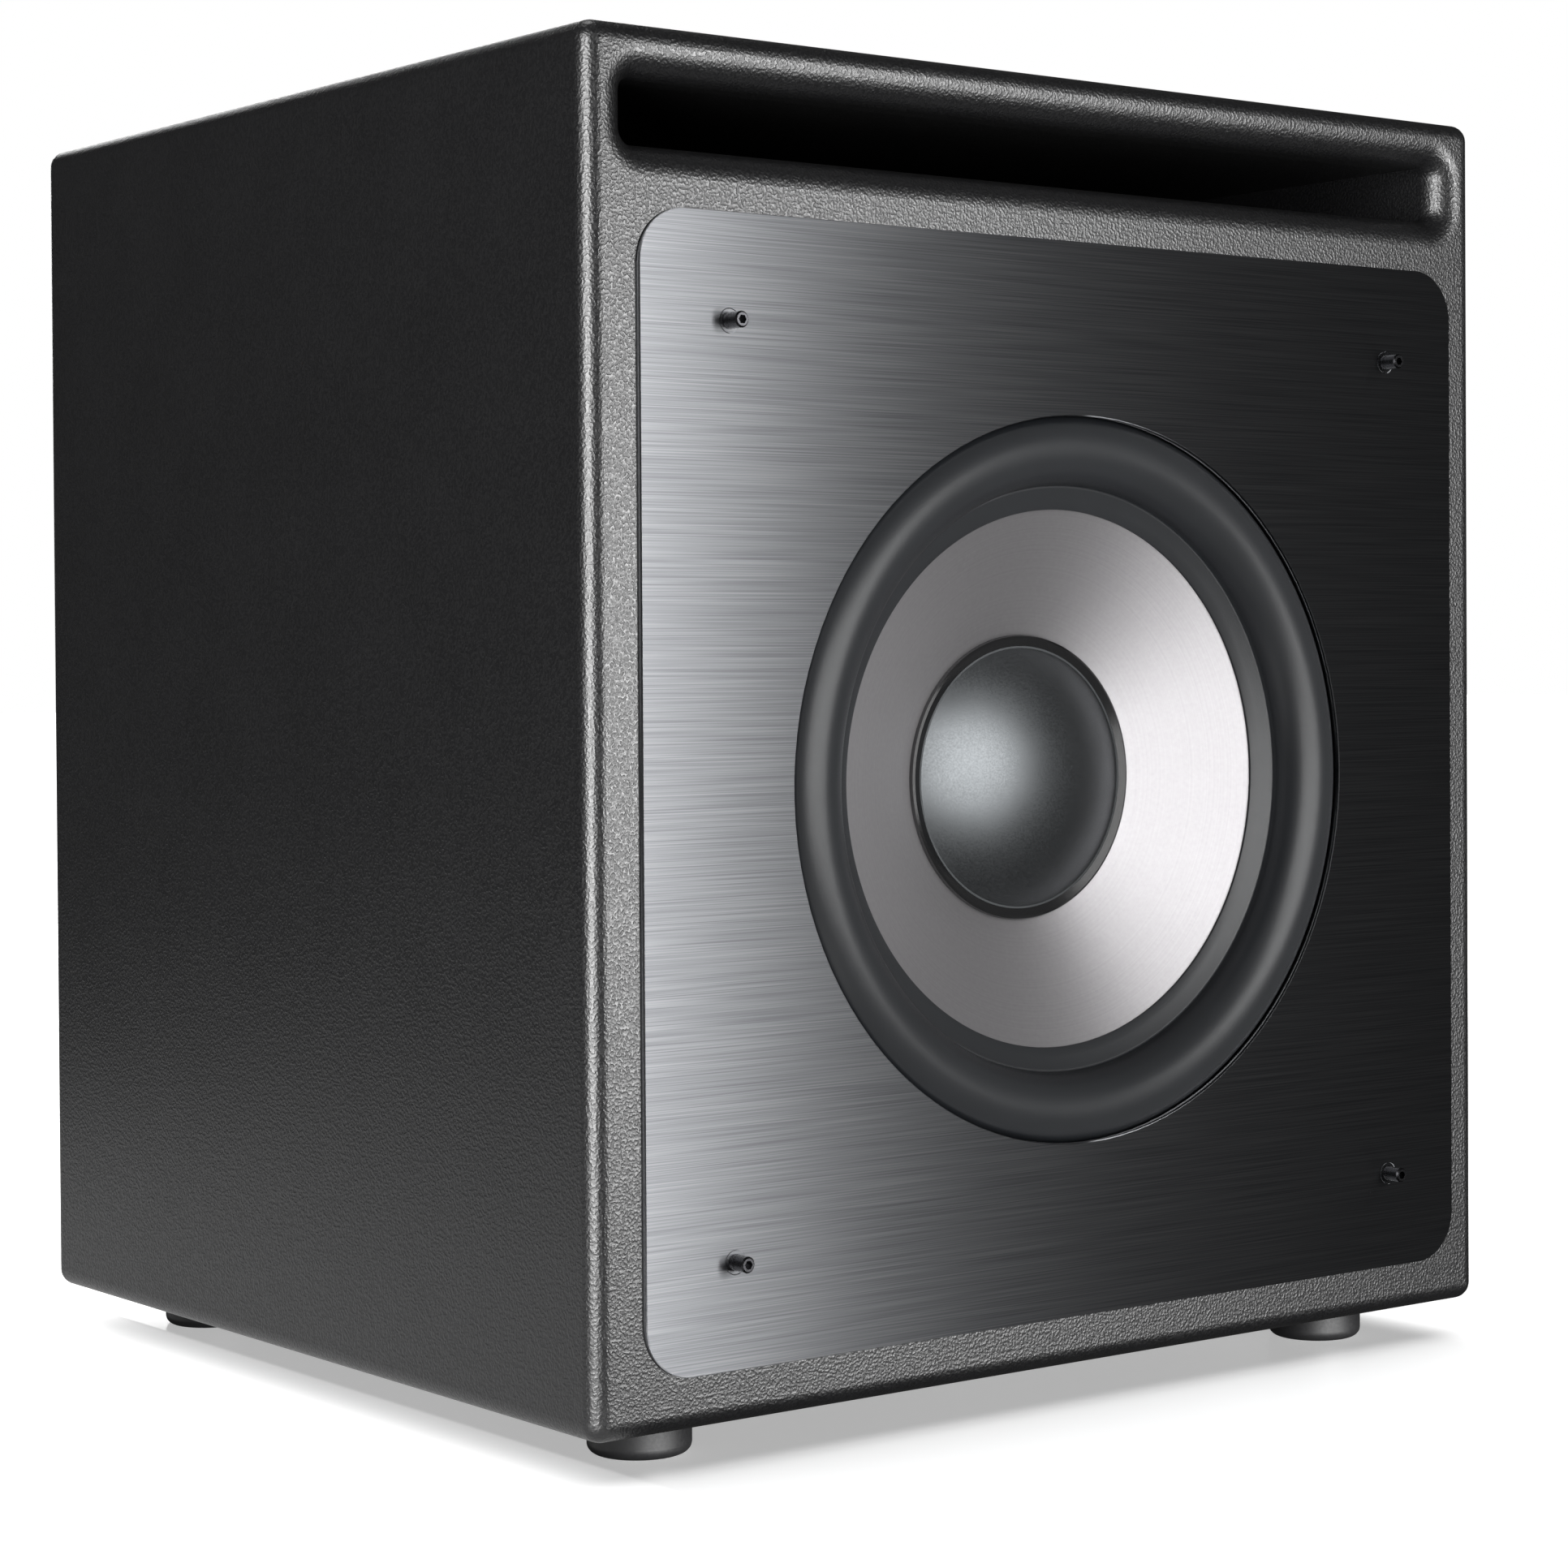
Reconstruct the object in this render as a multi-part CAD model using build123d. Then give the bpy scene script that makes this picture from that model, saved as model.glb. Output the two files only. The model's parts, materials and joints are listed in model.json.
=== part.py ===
from build123d import *
import math
import os

# Powered subwoofer: a slot-ported box with one 12 inch driver and a rear plate amplifier.
# Millimetres. Shapes are laid out with y = 0 on the baffle's front face (y grows into the
# cabinet), z = 0 on the floor and x = 0 on the centre line, x to the right seen from the front.
# save() then moves them along Y, so that the origin is the middle of the footprint on the floor.

# ---- driving dimensions ----
cabinet_width = 454.0
cabinet_height = 500.0
cabinet_depth = 425.0
edge_radius = 7.0
board = 18.0                    # MDF thickness of the walls
baffle_thickness = 25.0
foot_height = 16.0
foot_radius = 19.5
foot_inset = 51.0               # foot's axis from the side face
foot_rows = (46.0, 377.0)       # front and rear feet, depths of their axes

plate_size = 415.0              # square aluminium front plate
plate_corner = 20.0
plate_thickness = 2.5
backing_thickness = 2.0
plate_hole_radius = 140.5

post_spacing = 337.0            # square of grille posts
post_radius = 3.0
post_depth = 15.0                # its threaded end in the baffle
post_socket = 3.0               # hexagon key, across flats
post_projection = 12.4          # tip ahead of the baffle's face
post_clearance = 1.3            # round the post in the plate

slot_half_width = 207.7         # throat of the slot port
slot_flare = 11.5
slot_throat_depth = 12.0
slot_corner = 5.5
shelf_length = 305.0

flange_radius = 156.0           # the driver's mounting flange
flange_rim_radius = 145.6
flange_front = 0.5
screw_circle = 150.8
screw_count = 8
screw_shank = 2.5               # driver screws, foot screws and post threads
cutout_radius = 143.0
flange_thickness = 10.5
driver_gasket_thickness = 1.5
screw_recess = 5.6              # counterbore of a driver screw
spoke_count = 6

roll_radius = 14.0              # half-roll of the surround
roll_centre_radius = 128.25
roll_base = 6.5                 # depth of the roll's two ends
rubber = 1.2
land_inner_radius = 104.8
cone_slope = 0.4406             # depth gained per mm towards the axis
cone_edge_depth = 12.1          # cone surface at the land's inner edge
cap_radius = 51.8
cap_height = 15.0
ring_radius = 56.2

former_radius = 25.5
coil_radius = 27.0
gap_centre = 92.0               # depth of the magnetic gap's middle
top_plate_thickness = 8.0
magnet_thickness = 30.0
magnet_radius = 78.0
spider_depth = 63.0

amp_width = 240.0
amp_height = 300.0
amp_plate_thickness = 3.0
amp_gasket_thickness = 1.5
amp_screw_shank = 1.9
amp_screw_inset = 8.0
amp_opening_margin = 17.0       # plate's edge to the opening in the rear board
heat_sink_depth = 16.0
heat_sink_half_width = 100.0
fin_count = 21
knob_radius = 11.0
knob_height = 14.5
knob_gap = 0.8
shaft_radius = 3.0
switch_travel = 2.0             # either side of the slot's middle
rocker_tilt = 12.0
rocker_pin_radius = 1.2
pilot = 0.05                    # screw holes are this much larger than the shanks

# ---- places worked out from them ----
base = foot_height                                  # underside of the cabinet
top = base + cabinet_height
half_width = cabinet_width / 2
inner_half = half_width - board
floor_top = base + board                            # inner face of the bottom board
slot_bottom = base + 458.0
slot_top = base + 481.2
duct_top = top - board
shelf_bottom = slot_bottom - board
shelf_end = baffle_thickness + shelf_length
rear_inner = cabinet_depth - board
front_centre = base + 228.0                         # height of plate, posts and driver
plate_face = -(plate_thickness + backing_thickness)
flange_back = flange_front + flange_thickness
rebate_depth = flange_back + driver_gasket_thickness
amp_centre = base + 200.0
amp_inner = cabinet_depth + amp_gasket_thickness    # amplifier plate's inner face
amp_face = amp_inner + amp_plate_thickness
rear_projection = amp_face + heat_sink_depth - cabinet_depth
overall_depth = post_projection + cabinet_depth + rear_projection
front_y = post_projection - overall_depth / 2       # baffle face in the saved frame


# ---- helpers ----
def block(x0, x1, y0, y1, z0, z1):
    return Pos((x0 + x1) / 2, (y0 + y1) / 2, (z0 + z1) / 2) * Box(x1 - x0, y1 - y0, z1 - z0)


def rod(radius, y0, y1, x=0.0, z=0.0):
    """Cylinder along Y."""
    return Pos(x, (y0 + y1) / 2, z) * Rot(90, 0, 0) * Cylinder(radius, y1 - y0)


def upright(radius, z0, z1, x=0.0, y=0.0):
    """Cylinder along Z."""
    return Pos(x, y, (z0 + z1) / 2) * Cylinder(radius, z1 - z0)


def tube(outer, inner, y0, y1, x=0.0, z=0.0):
    return rod(outer, y0, y1, x, z) - rod(inner, y0 - 1, y1 + 1, x, z)


def panel(width, height, corner, y0, y1, x=0.0, z=0.0):
    """Rounded rectangle facing along Y."""
    return Pos(x, y1, z) * extrude(Plane.XZ * RectangleRounded(width, height, corner), y1 - y0)


def hexagon(across_flats, y0, y1, x=0.0, z=0.0):
    outline = RegularPolygon(across_flats / 2, 6, major_radius=False)
    return Pos(x, y1, z) * extrude(Plane.XZ * outline, y1 - y0)


def turned(edges, x=0.0, z=front_centre):
    """Solid of revolution about Y from a closed outline of (radius, depth)."""
    return Pos(x, 0, z) * revolve(make_face(edges), Axis.Y, 360)


def turned_points(*points):
    return turned(Polyline(*points, close=True))


def around(count, radius, start=0.0):
    """(x, z) places evenly round the driver's axis."""
    angles = [math.radians(start + 360.0 * i / count) for i in range(count)]
    return [(radius * math.cos(a), front_centre + radius * math.sin(a)) for a in angles]


def corners(spacing_x, spacing_z, z):
    return [(sx * spacing_x / 2, z + sz * spacing_z / 2) for sx in (-1, 1) for sz in (-1, 1)]


def save(node, *solids):
    shape = solids[0] if len(solids) == 1 else Compound(children=list(solids))
    export_step(Pos(0, front_y, 0) * shape, os.path.join("parts", node + ".step"))


def screw(head_radius, head_height, shank_radius, length, direction=1):
    """Pan or cap screw along Y with its head's underside at y = 0; direction is the shank's."""
    head = rod(head_radius, -head_height, 0)
    head = chamfer(head.faces().sort_by(Axis.Y)[0].edges(), head_radius * 0.12)
    head -= hexagon(head_radius * 1.05, -head_height - 1, -head_height * 0.35)
    body = head + rod(shank_radius, -0.5, length)
    return body if direction > 0 else Rot(0, 0, 180) * body


# ---- cabinet ----
def long_edges_rounded(shape, keep=lambda edge: True):
    edges = [e for e in shape.edges().filter_by(Axis.Y) if keep(e)]
    return fillet(edges, edge_radius)


post_places = corners(post_spacing, post_spacing, front_centre)
screw_places = around(screw_count, screw_circle, 180.0 / screw_count)
foot_places = [(sx * (half_width - foot_inset), y) for sx in (-1, 1) for y in foot_rows]
amp_screw_width = amp_width - 2 * amp_screw_inset
amp_screw_height = amp_height - 2 * amp_screw_inset
amp_screw_places = corners(amp_screw_width, amp_screw_height, amp_centre)
amp_screw_places += corners(0, amp_screw_height, amp_centre)[:2]
amp_screw_places += corners(amp_screw_width, amp_height / 3, amp_centre)


def front_baffle():
    body = block(-half_width, half_width, 0, baffle_thickness, base, top)
    body = long_edges_rounded(body)
    body = fillet(body.faces().sort_by(Axis.Y)[0].edges(), edge_radius)
    slot_height = slot_top - slot_bottom
    slot_middle = (slot_top + slot_bottom) / 2
    body -= panel(2 * slot_half_width, slot_height, slot_corner, -1, baffle_thickness + 1, 0, slot_middle)
    mouth = body.faces().sort_by(Axis.Y)[0].inner_wires()[0]
    body = fillet(mouth.edges(), slot_flare)
    body -= block(-inner_half, inner_half, slot_throat_depth, baffle_thickness + 1, slot_bottom, duct_top)
    body -= rod(cutout_radius, -1, baffle_thickness + 1, 0, front_centre)
    body -= rod(flange_radius + 0.5, -1, rebate_depth, 0, front_centre)
    for x, z in screw_places:
        body -= rod(screw_shank + pilot, rebate_depth - 2, baffle_thickness - 2, x, z)
    for x, z in post_places:
        body -= rod(screw_shank + pilot, -1, post_depth + 1, x, z)
    return body


def top_board():
    body = block(-half_width, half_width, baffle_thickness, rear_inner, duct_top, top)
    return long_edges_rounded(body, lambda e: e.center().Z > top - 1)


def bottom_board():
    body = block(-half_width, half_width, baffle_thickness, rear_inner, base, floor_top)
    body = long_edges_rounded(body, lambda e: e.center().Z < base + 1)
    for x, y in foot_places:
        body -= upright(screw_shank + pilot, base - 1, base + 12, x, y)
    return body


def side_board(side):
    x0, x1 = sorted((side * inner_half, side * half_width))
    return block(x0, x1, baffle_thickness, rear_inner, floor_top, duct_top)


def amp_opening(y0, y1):
    width = amp_width - 2 * amp_opening_margin
    height = amp_height - 2 * amp_opening_margin
    return panel(width, height, 6, y0 - 1, y1 + 1, 0, amp_centre)


def rear_board():
    body = block(-half_width, half_width, rear_inner, cabinet_depth, base, top)
    body = long_edges_rounded(body)
    body = fillet(body.faces().sort_by(Axis.Y)[-1].edges(), edge_radius)
    body -= amp_opening(rear_inner, cabinet_depth)
    for x, z in amp_screw_places:
        body -= rod(amp_screw_shank + pilot, rear_inner + 2, cabinet_depth + 1, x, z)
    return body


def port_shelf():
    body = block(-inner_half, inner_half, baffle_thickness, shelf_end, shelf_bottom, slot_bottom)
    return fillet(body.faces().sort_by(Axis.Y)[-1].edges().filter_by(Axis.X), 8)


brace_y0 = 232.0
brace_y1 = brace_y0 + board
window_bar = 26.0
window_corner = 25.0


def window_brace():
    body = block(-inner_half, inner_half, brace_y0, brace_y1, floor_top, shelf_bottom)
    height = shelf_bottom - floor_top
    window_width = (2 * inner_half - 3 * window_bar) / 2
    window_height = (height - 3 * window_bar) / 2
    for x, z in corners(window_width + window_bar, window_height + window_bar, floor_top + height / 2):
        body -= panel(window_width, window_height, window_corner, brace_y0 - 1, brace_y1 + 1, x, z)
    return body


cleat = 18.0


def cleats():
    spans = ((baffle_thickness, brace_y0), (brace_y1, rear_inner))
    bars = []
    for y0, y1 in spans:
        for side in (-1, 1):
            x0, x1 = sorted((side * inner_half, side * (inner_half - cleat)))
            bars.append(block(x0, x1, y0, y1, floor_top, floor_top + cleat))
    for side in (-1, 1):
        x0, x1 = sorted((side * inner_half, side * (inner_half - cleat)))
        bars.append(block(x0, x1, baffle_thickness, brace_y0, shelf_bottom - cleat, shelf_bottom))
    return [chamfer(bar.edges().filter_by(Axis.Y), 1.5) for bar in bars]


pad_thickness = 23.0
pad_front = 60.0
pad_gap = 4.0                   # clear of the brace and the rear board


def damping_lining():
    """Four wadding pads on the sides, fore and aft of the brace, and one on the floor."""
    pads = []
    z0 = floor_top + cleat + 6
    z1 = shelf_bottom - cleat - 6
    for y0, y1 in ((pad_front, brace_y0 - pad_gap), (brace_y1 + pad_gap, rear_inner - pad_gap)):
        for side in (-1, 1):
            x0, x1 = sorted((side * (inner_half - 0.5), side * (inner_half - 0.5 - pad_thickness)))
            pads.append(block(x0, x1, y0, y1, z0, z1))
    pads.append(block(-150, 150, pad_front, brace_y0 - pad_gap, floor_top + 0.5, floor_top + pad_thickness))
    return [fillet(pad.edges(), 6) for pad in pads]


# ---- front plate, posts and feet ----
def front_plate():
    body = panel(plate_size, plate_size, plate_corner, plate_face, -backing_thickness, 0, front_centre)
    body -= rod(plate_hole_radius, plate_face - 1, 1, 0, front_centre)
    for x, z in post_places:
        body -= rod(post_radius + post_clearance, plate_face - 1, 1, x, z)
    rim = body.faces().sort_by(Axis.Y)[0]
    return chamfer(rim.outer_wire().edges() + rim.inner_wires().edges(), 0.3)


def plate_backing():
    size = plate_size - 5
    body = panel(size, size, plate_corner - 2.5, -backing_thickness, 0, 0, front_centre)
    body -= rod(plate_hole_radius + 2.5, -backing_thickness - 1, 1, 0, front_centre)
    for x, z in post_places:
        body -= rod(post_radius + post_clearance, -backing_thickness - 1, 1, x, z)
    return body


def grille_post(x, z):
    """Round post that seats on the baffle, with a thinner threaded end and a key socket."""
    body = rod(post_radius, -post_projection, 0)
    body = chamfer(body.faces().sort_by(Axis.Y)[0].edges(), 0.6)
    body += rod(screw_shank, -0.5, post_depth)
    body -= hexagon(post_socket, -post_projection - 1, -post_projection + 3)
    return Pos(x, 0, z) * body


foot_recess = 8.0               # height of the screw's seat above the floor


def foot(x, y):
    """Round rubber foot with a counterbored screw hole."""
    outline = make_face(Polyline((5.5, 0), (foot_radius, 0), (foot_radius, foot_height),
                                 (3, foot_height), (3, foot_recess), (5.5, foot_recess), close=True))
    body = revolve(Plane.XZ * outline, Axis.Z, 360)
    rim = [edge for edge in body.edges().group_by(Axis.Z)[0] if edge.radius > foot_radius / 2]
    body = fillet(rim, 4)
    return Pos(x, y, 0) * body


def foot_screw(x, y):
    return Pos(x, y, foot_recess) * Rot(90, 0, 0) * screw(4.6, 3.0, screw_shank, 20)


# ---- driver: fixed parts ----
motor_front = gap_centre - top_plate_thickness / 2
motor_middle = gap_centre + top_plate_thickness / 2
motor_back = motor_middle + magnet_thickness
back_plate_end = motor_back + 8.0
motor_plate_radius = 75.0
pole_radius = 24.3
terminal_z = front_centre - 127.5


def driver_basket():
    seat = roll_base + rubber
    rim = turned_points((flange_rim_radius, flange_front), (flange_radius, flange_front),
                        (flange_radius, flange_back), (134, flange_back), (134, seat + 1.5),
                        (139.5, seat), (flange_rim_radius, seat))
    shelf = turned_points((68, spider_depth + 3.5), (86, spider_depth + 3.5), (86, spider_depth + 8),
                          (68, spider_depth + 8))
    bottom = tube(82, 32, motor_front - 5, motor_front, 0, front_centre)
    body = rim + shelf + bottom
    spoke = make_face(Polyline((134, flange_back - 2), (142, flange_back - 2), (142, flange_back + 6),
                               (92, motor_front), (70, motor_front), (70, motor_front - 12),
                               (84, spider_depth + 4),
                               close=True))
    for i in range(spoke_count):
        arm = extrude(spoke, 7, both=True)
        body += Pos(0, 0, front_centre) * Rot(0, 90 + 360.0 * i / spoke_count, 0) * arm
    for x, z in screw_places:
        body -= rod(screw_shank + 0.2, flange_front - 1, flange_back + 1, x, z)
        body -= rod(4.4, flange_front - 1, flange_front + screw_recess, x, z)
    return body - terminal_foot()


def driver_gasket():
    body = tube(flange_radius - 0.5, cutout_radius + 0.5, flange_back, rebate_depth, 0, front_centre)
    for x, z in screw_places:
        body -= rod(screw_shank + 0.2, flange_back - 1, rebate_depth + 1, x, z)
    return body


def driver_screw(x, z):
    return Pos(x, flange_front + screw_recess, z) * screw(4.1, 5.0, screw_shank, 16.4)


def top_plate():
    return tube(motor_plate_radius, coil_radius + 0.5, motor_front, motor_middle, 0, front_centre)


def magnet():
    return tube(magnet_radius, 38, motor_middle, motor_back, 0, front_centre)


def back_plate():
    """Back plate and vented pole in one piece."""
    body = rod(motor_plate_radius, motor_back, back_plate_end, 0, front_centre)
    body += rod(pole_radius, motor_front - 3, motor_back + 1, 0, front_centre)
    body = chamfer(body.faces().sort_by(Axis.Y)[-1].edges(), 2)
    return body - rod(10, motor_front - 4, back_plate_end + 1, 0, front_centre)


def shorting_ring():
    return tube(33, pole_radius, motor_back - 6, motor_back, 0, front_centre)


def magnet_boot():
    inner = magnet_radius + 0.2
    outer = inner + 2.8
    end = back_plate_end
    return turned_points((inner, motor_front + 4), (outer, motor_front + 4), (outer, end - 1),
                         (outer - 4, end + 3), (62, end + 3), (62, end), (inner, end))


def terminal_foot():
    """Tongue of the terminal block, let into the lowest spoke."""
    return block(-5, 5, 48, 56, terminal_z + 4, terminal_z + 14)


def driver_terminals():
    body = block(-17, 17, 46, 58, terminal_z - 5, terminal_z + 5)
    body = fillet(body.edges().filter_by(Axis.Y), 2)
    body += terminal_foot()
    for x in (-12, 12):
        body += block(x - 2.4, x + 2.4, 57, 66, terminal_z - 0.4, terminal_z + 0.4)
    return body


# ---- driver: moving parts ----
def cone_depth(radius):
    return cone_edge_depth + (land_inner_radius - radius) * cone_slope


def cone():
    """Spun cone whose neck is glued round the coil former; the surround's land covers its rim."""
    sheet = 0.9
    rim = 113.6
    neck = former_radius + 3
    neck_end = cone_depth(neck) + 5
    return turned_points((rim, cone_depth(rim)), (rim, cone_depth(rim) + sheet),
                         (neck, cone_depth(neck) + sheet), (former_radius + 1.2, neck_end),
                         (former_radius, neck_end), (former_radius, cone_depth(former_radius)))


def surround():
    """Half roll with a flat land glued on the cone and a flat edge glued on the basket."""
    inner_end = roll_centre_radius - roll_radius
    outer_end = roll_centre_radius + roll_radius
    bore = roll_radius - rubber
    lift = rubber - 0.15
    land_front = roll_base + (inner_end - land_inner_radius) * cone_slope
    front = ThreePointArc((inner_end, roll_base), (roll_centre_radius, roll_base - roll_radius),
                          (outer_end, roll_base))
    back = ThreePointArc((outer_end - rubber, roll_base), (roll_centre_radius, roll_base - bore),
                         (inner_end + rubber, roll_base))
    edge = flange_rim_radius - 0.3
    return turned([
        Line((land_inner_radius, land_front), (inner_end, roll_base)),
        front,
        Polyline((outer_end, roll_base), (edge, roll_base), (edge, roll_base + rubber),
                 (outer_end - rubber, roll_base + rubber), (outer_end - rubber, roll_base)),
        back,
        Polyline((inner_end + rubber, roll_base), (inner_end + 0.5, roll_base + lift - 0.4),
                 (land_inner_radius, land_front + lift), (land_inner_radius, land_front)),
    ])


def dust_cap():
    sheet = 0.8
    rim = cone_depth(cap_radius) - 2.2
    ball = (cap_radius ** 2 + cap_height ** 2) / (2 * cap_height)
    ball_centre = rim - cap_height + ball
    shell = Pos(0, ball_centre, front_centre) * (Sphere(ball) - Sphere(ball - sheet))
    shell &= rod(cap_radius + 5, rim - cap_height - 1, rim, 0, front_centre)
    return shell + tube(cap_radius, cap_radius - sheet, rim - 0.6, rim + 1.9, 0, front_centre)


def cap_trim_ring():
    outer = ring_radius
    return turned_points((cap_radius + 0.1, cone_depth(cap_radius + 0.1) - 0.05),
                         (cap_radius + 0.1, cone_depth(cap_radius) - 2.8),
                         (outer - 1.4, cone_depth(outer) - 1.9),
                         (outer - 0.4, cone_depth(outer) - 1.5),
                         (outer, cone_depth(outer) - 0.05))


former_front = cone_depth(former_radius) - 4.0
former_back = gap_centre + 14.0


def coil_former():
    return tube(former_radius, former_radius - 0.4, former_front, former_back, 0, front_centre)


def voice_coil():
    return tube(coil_radius, former_radius, gap_centre - 13, gap_centre + 13, 0, front_centre)


def spider():
    """Corrugated disc: half-round waves of alternate direction, the cloth's thickness apart."""
    cloth = 0.8
    waves = 9
    inner = former_radius + 5.0
    outer = 70.0
    pitch = (outer - inner) / waves
    edges = []
    for side in (-1, 1):
        for i in range(waves):
            direction = -1 if i % 2 else 1
            middle = inner + pitch * (i + 0.5)
            radius = pitch / 2 - side * direction * cloth / 2
            depth = spider_depth - direction * radius
            ends = [(middle - radius, spider_depth), (middle + radius, spider_depth)]
            edges.append(ThreePointArc(ends[0], (middle, depth), ends[1]))
    first = cloth / 2
    glue = former_radius + 0.3
    edges += [
        Polyline((inner + first, spider_depth), (inner + first, spider_depth + 1.4),
                 (glue, spider_depth + 1.4), (glue, spider_depth - 1),
                 (inner - first, spider_depth - 1), (inner - first, spider_depth)),
        Polyline((outer + first, spider_depth), (outer + 12, spider_depth), (outer + 12, spider_depth + 3.4),
                 (outer - first, spider_depth + 3.4), (outer - first, spider_depth)),
    ]
    return turned(edges)


def tinsel_lead(side):
    """Braided lead from the terminal block to the coil former."""
    start = (side * 12, 52, terminal_z + 5.0)
    end = (side * 12, 54, front_centre - 25.6)
    bends = [(side * 12, 56, terminal_z + 32), (side * 12, 51, front_centre - 50)]
    route = FilletPolyline(start, *bends, end, radius=14)
    return sweep(Plane(origin=start, z_dir=route % 0) * Circle(1.1), path=route)


# ---- amplifier ----
def amp_point(x, z):
    return x, amp_centre + z


level_place = amp_point(72, -8)
crossover_place = amp_point(26, -8)
phase_place = amp_point(-24, -8)
mode_place = amp_point(-72, -8)
jack_places = [amp_point(x, -58) for x in (76, 52, 12, -12)]
inlet_place = amp_point(62, -106)
rocker_place = amp_point(6, -106)
slider_width = 4.0
slider_height = 4.4
inlet_width = 30.0
inlet_height = 40.0
inlet_flange = 2.0
drawer_drop = 12.0              # the fuse drawer's middle below the inlet's middle
socket_lift = 5.5


def amp_plate():
    body = panel(amp_width, amp_height, 6, amp_inner, amp_face, 0, amp_centre)
    body = chamfer(body.faces().sort_by(Axis.Y)[-1].outer_wire().edges(), 0.5)
    through = (amp_inner - 1, amp_face + 1)
    for x, z in (level_place, crossover_place):
        body -= rod(4.5, *through, x, z)
    for x, z in (phase_place, mode_place):
        width = slider_width + 2 * switch_travel + 1
        reach = slider_height / 2 + 0.5
        body -= block(x - width / 2, x + width / 2, *through, z - reach, z + reach)
    for x, z in jack_places:
        body -= rod(5.0, *through, x, z)
    x, z = inlet_place
    body -= panel(inlet_width - 2, inlet_height - 4, 2, *through, x, z)
    x, z = rocker_place
    body -= panel(19, 27, 1, *through, x, z)
    for x, z in amp_screw_places:
        body -= rod(amp_screw_shank + 0.2, *through, x, z)
    return body


def amp_gasket():
    body = panel(amp_width - 1, amp_height - 1, 5.5, cabinet_depth, amp_inner, 0, amp_centre)
    body -= amp_opening(cabinet_depth, amp_inner)
    for x, z in amp_screw_places:
        body -= rod(amp_screw_shank + 0.2, cabinet_depth - 1, amp_inner + 1, x, z)
    return body


def amp_screw(x, z):
    return Pos(x, amp_face, z) * screw(3.6, 2.2, amp_screw_shank, 18, direction=-1)


def heat_sink():
    half = heat_sink_half_width
    z0, z1 = amp_centre + 30, amp_centre + 130
    body = block(-half, half, amp_face, amp_face + 4, z0, z1)
    pitch = (2 * half - 2) / (fin_count - 1)
    for i in range(fin_count):
        x = -half + 1 + pitch * i
        body += block(x - 1, x + 1, amp_face + 3, amp_face + heat_sink_depth, z0, z1)
    return body


cover_depth = 75.0
cover_front = amp_inner - cover_depth
cover_half_width = 100.0
cover_half_height = 130.0
sheet_steel = 1.2
cable_exit = (60.0, amp_centre - 60.0)      # (x, z) where the driver's lead leaves the cover


def amp_cover():
    """Sheet steel box over the electronics, open towards the plate."""
    w, h = cover_half_width, cover_half_height
    body = block(-w, w, cover_front, amp_inner, amp_centre - h, amp_centre + h)
    w, h = w - sheet_steel, h - sheet_steel
    body -= block(-w, w, cover_front + sheet_steel, amp_inner + 1, amp_centre - h, amp_centre + h)
    return body - rod(4, cover_front - 1, cover_front + 3, *cable_exit)


board_back = amp_inner - 13.0
board_front = board_back - 1.6


def circuit_board():
    return block(-92, 92, board_front, board_back, amp_centre - 84, amp_centre + 22)


def transformer():
    front = cover_front + sheet_steel
    body = tube(42, 13, front, front + 40, 0, amp_centre + 76)
    return fillet(body.edges(), 6)


def capacitor(x, z):
    body = rod(15, board_front - 38, board_front, x, z)
    return fillet(body.faces().sort_by(Axis.Y)[0].edges(), 1.5)


def power_transistor(x, z):
    return block(x - 8, x + 8, amp_inner - 5, amp_inner, z - 10, z + 10)


def potentiometer(x, z):
    body = rod(8.5, amp_inner - 10, amp_inner, x, z) + rod(4.4, amp_inner - 1, amp_face + 2.4, x, z)
    body += hexagon(10.5, amp_face, amp_face + 2.0, x, z)
    return body - rod(shaft_radius + 0.05, amp_inner - 8, amp_face + 4, x, z)


def control_shaft(x, z):
    return rod(shaft_radius, amp_inner - 7.5, amp_face + knob_gap + knob_height - 3, x, z)


def knob(x, z):
    """Turned knob with a grip of shallow flutes and a pointer groove."""
    y0 = amp_face + knob_gap
    y1 = y0 + knob_height
    body = rod(knob_radius, y0, y1)
    body = fillet(body.faces().sort_by(Axis.Y)[-1].edges(), 1.2)
    flutes = 24
    for i in range(flutes):
        angle = 2 * math.pi * i / flutes
        reach = knob_radius + 0.5
        body -= rod(1.1, y0 + 3, y1 - 2.2, reach * math.cos(angle), reach * math.sin(angle))
    body -= rod(7.0, y0 - 1, y0 + 3.2)
    body -= rod(shaft_radius, y0, y1 - 3)
    body -= block(-0.5, 0.5, y1 - 0.5, y1 + 1, 4, knob_radius + 1)
    return Pos(x, 0, z) * body


def switch_housing(x, z):
    width = slider_width + 2 * switch_travel + 1
    reach = slider_height / 2 + 0.5
    body = block(x - 12, x + 12, amp_inner - 9, amp_inner, z - 5, z + 5)
    return body - block(x - width / 2, x + width / 2, amp_inner - 7, amp_inner + 1, z - reach, z + reach)


def slider(x, z):
    body = block(x - slider_width / 2, x + slider_width / 2, amp_inner - 6, amp_face + 3,
                 z - slider_height / 2, z + slider_height / 2)
    for i in (-1, 0, 1):
        body -= block(x + i * 1.2 - 0.25, x + i * 1.2 + 0.25, amp_face + 2.5, amp_face + 4, z - 5, z + 5)
    return body


rocker_pivot = amp_face - 3.0


def rocker_pin(radius, length):
    """Round pin along X on the rocker's axis."""
    x, z = rocker_place
    return Pos(x, rocker_pivot, z) * Rot(0, 90, 0) * Cylinder(radius, length)


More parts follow.
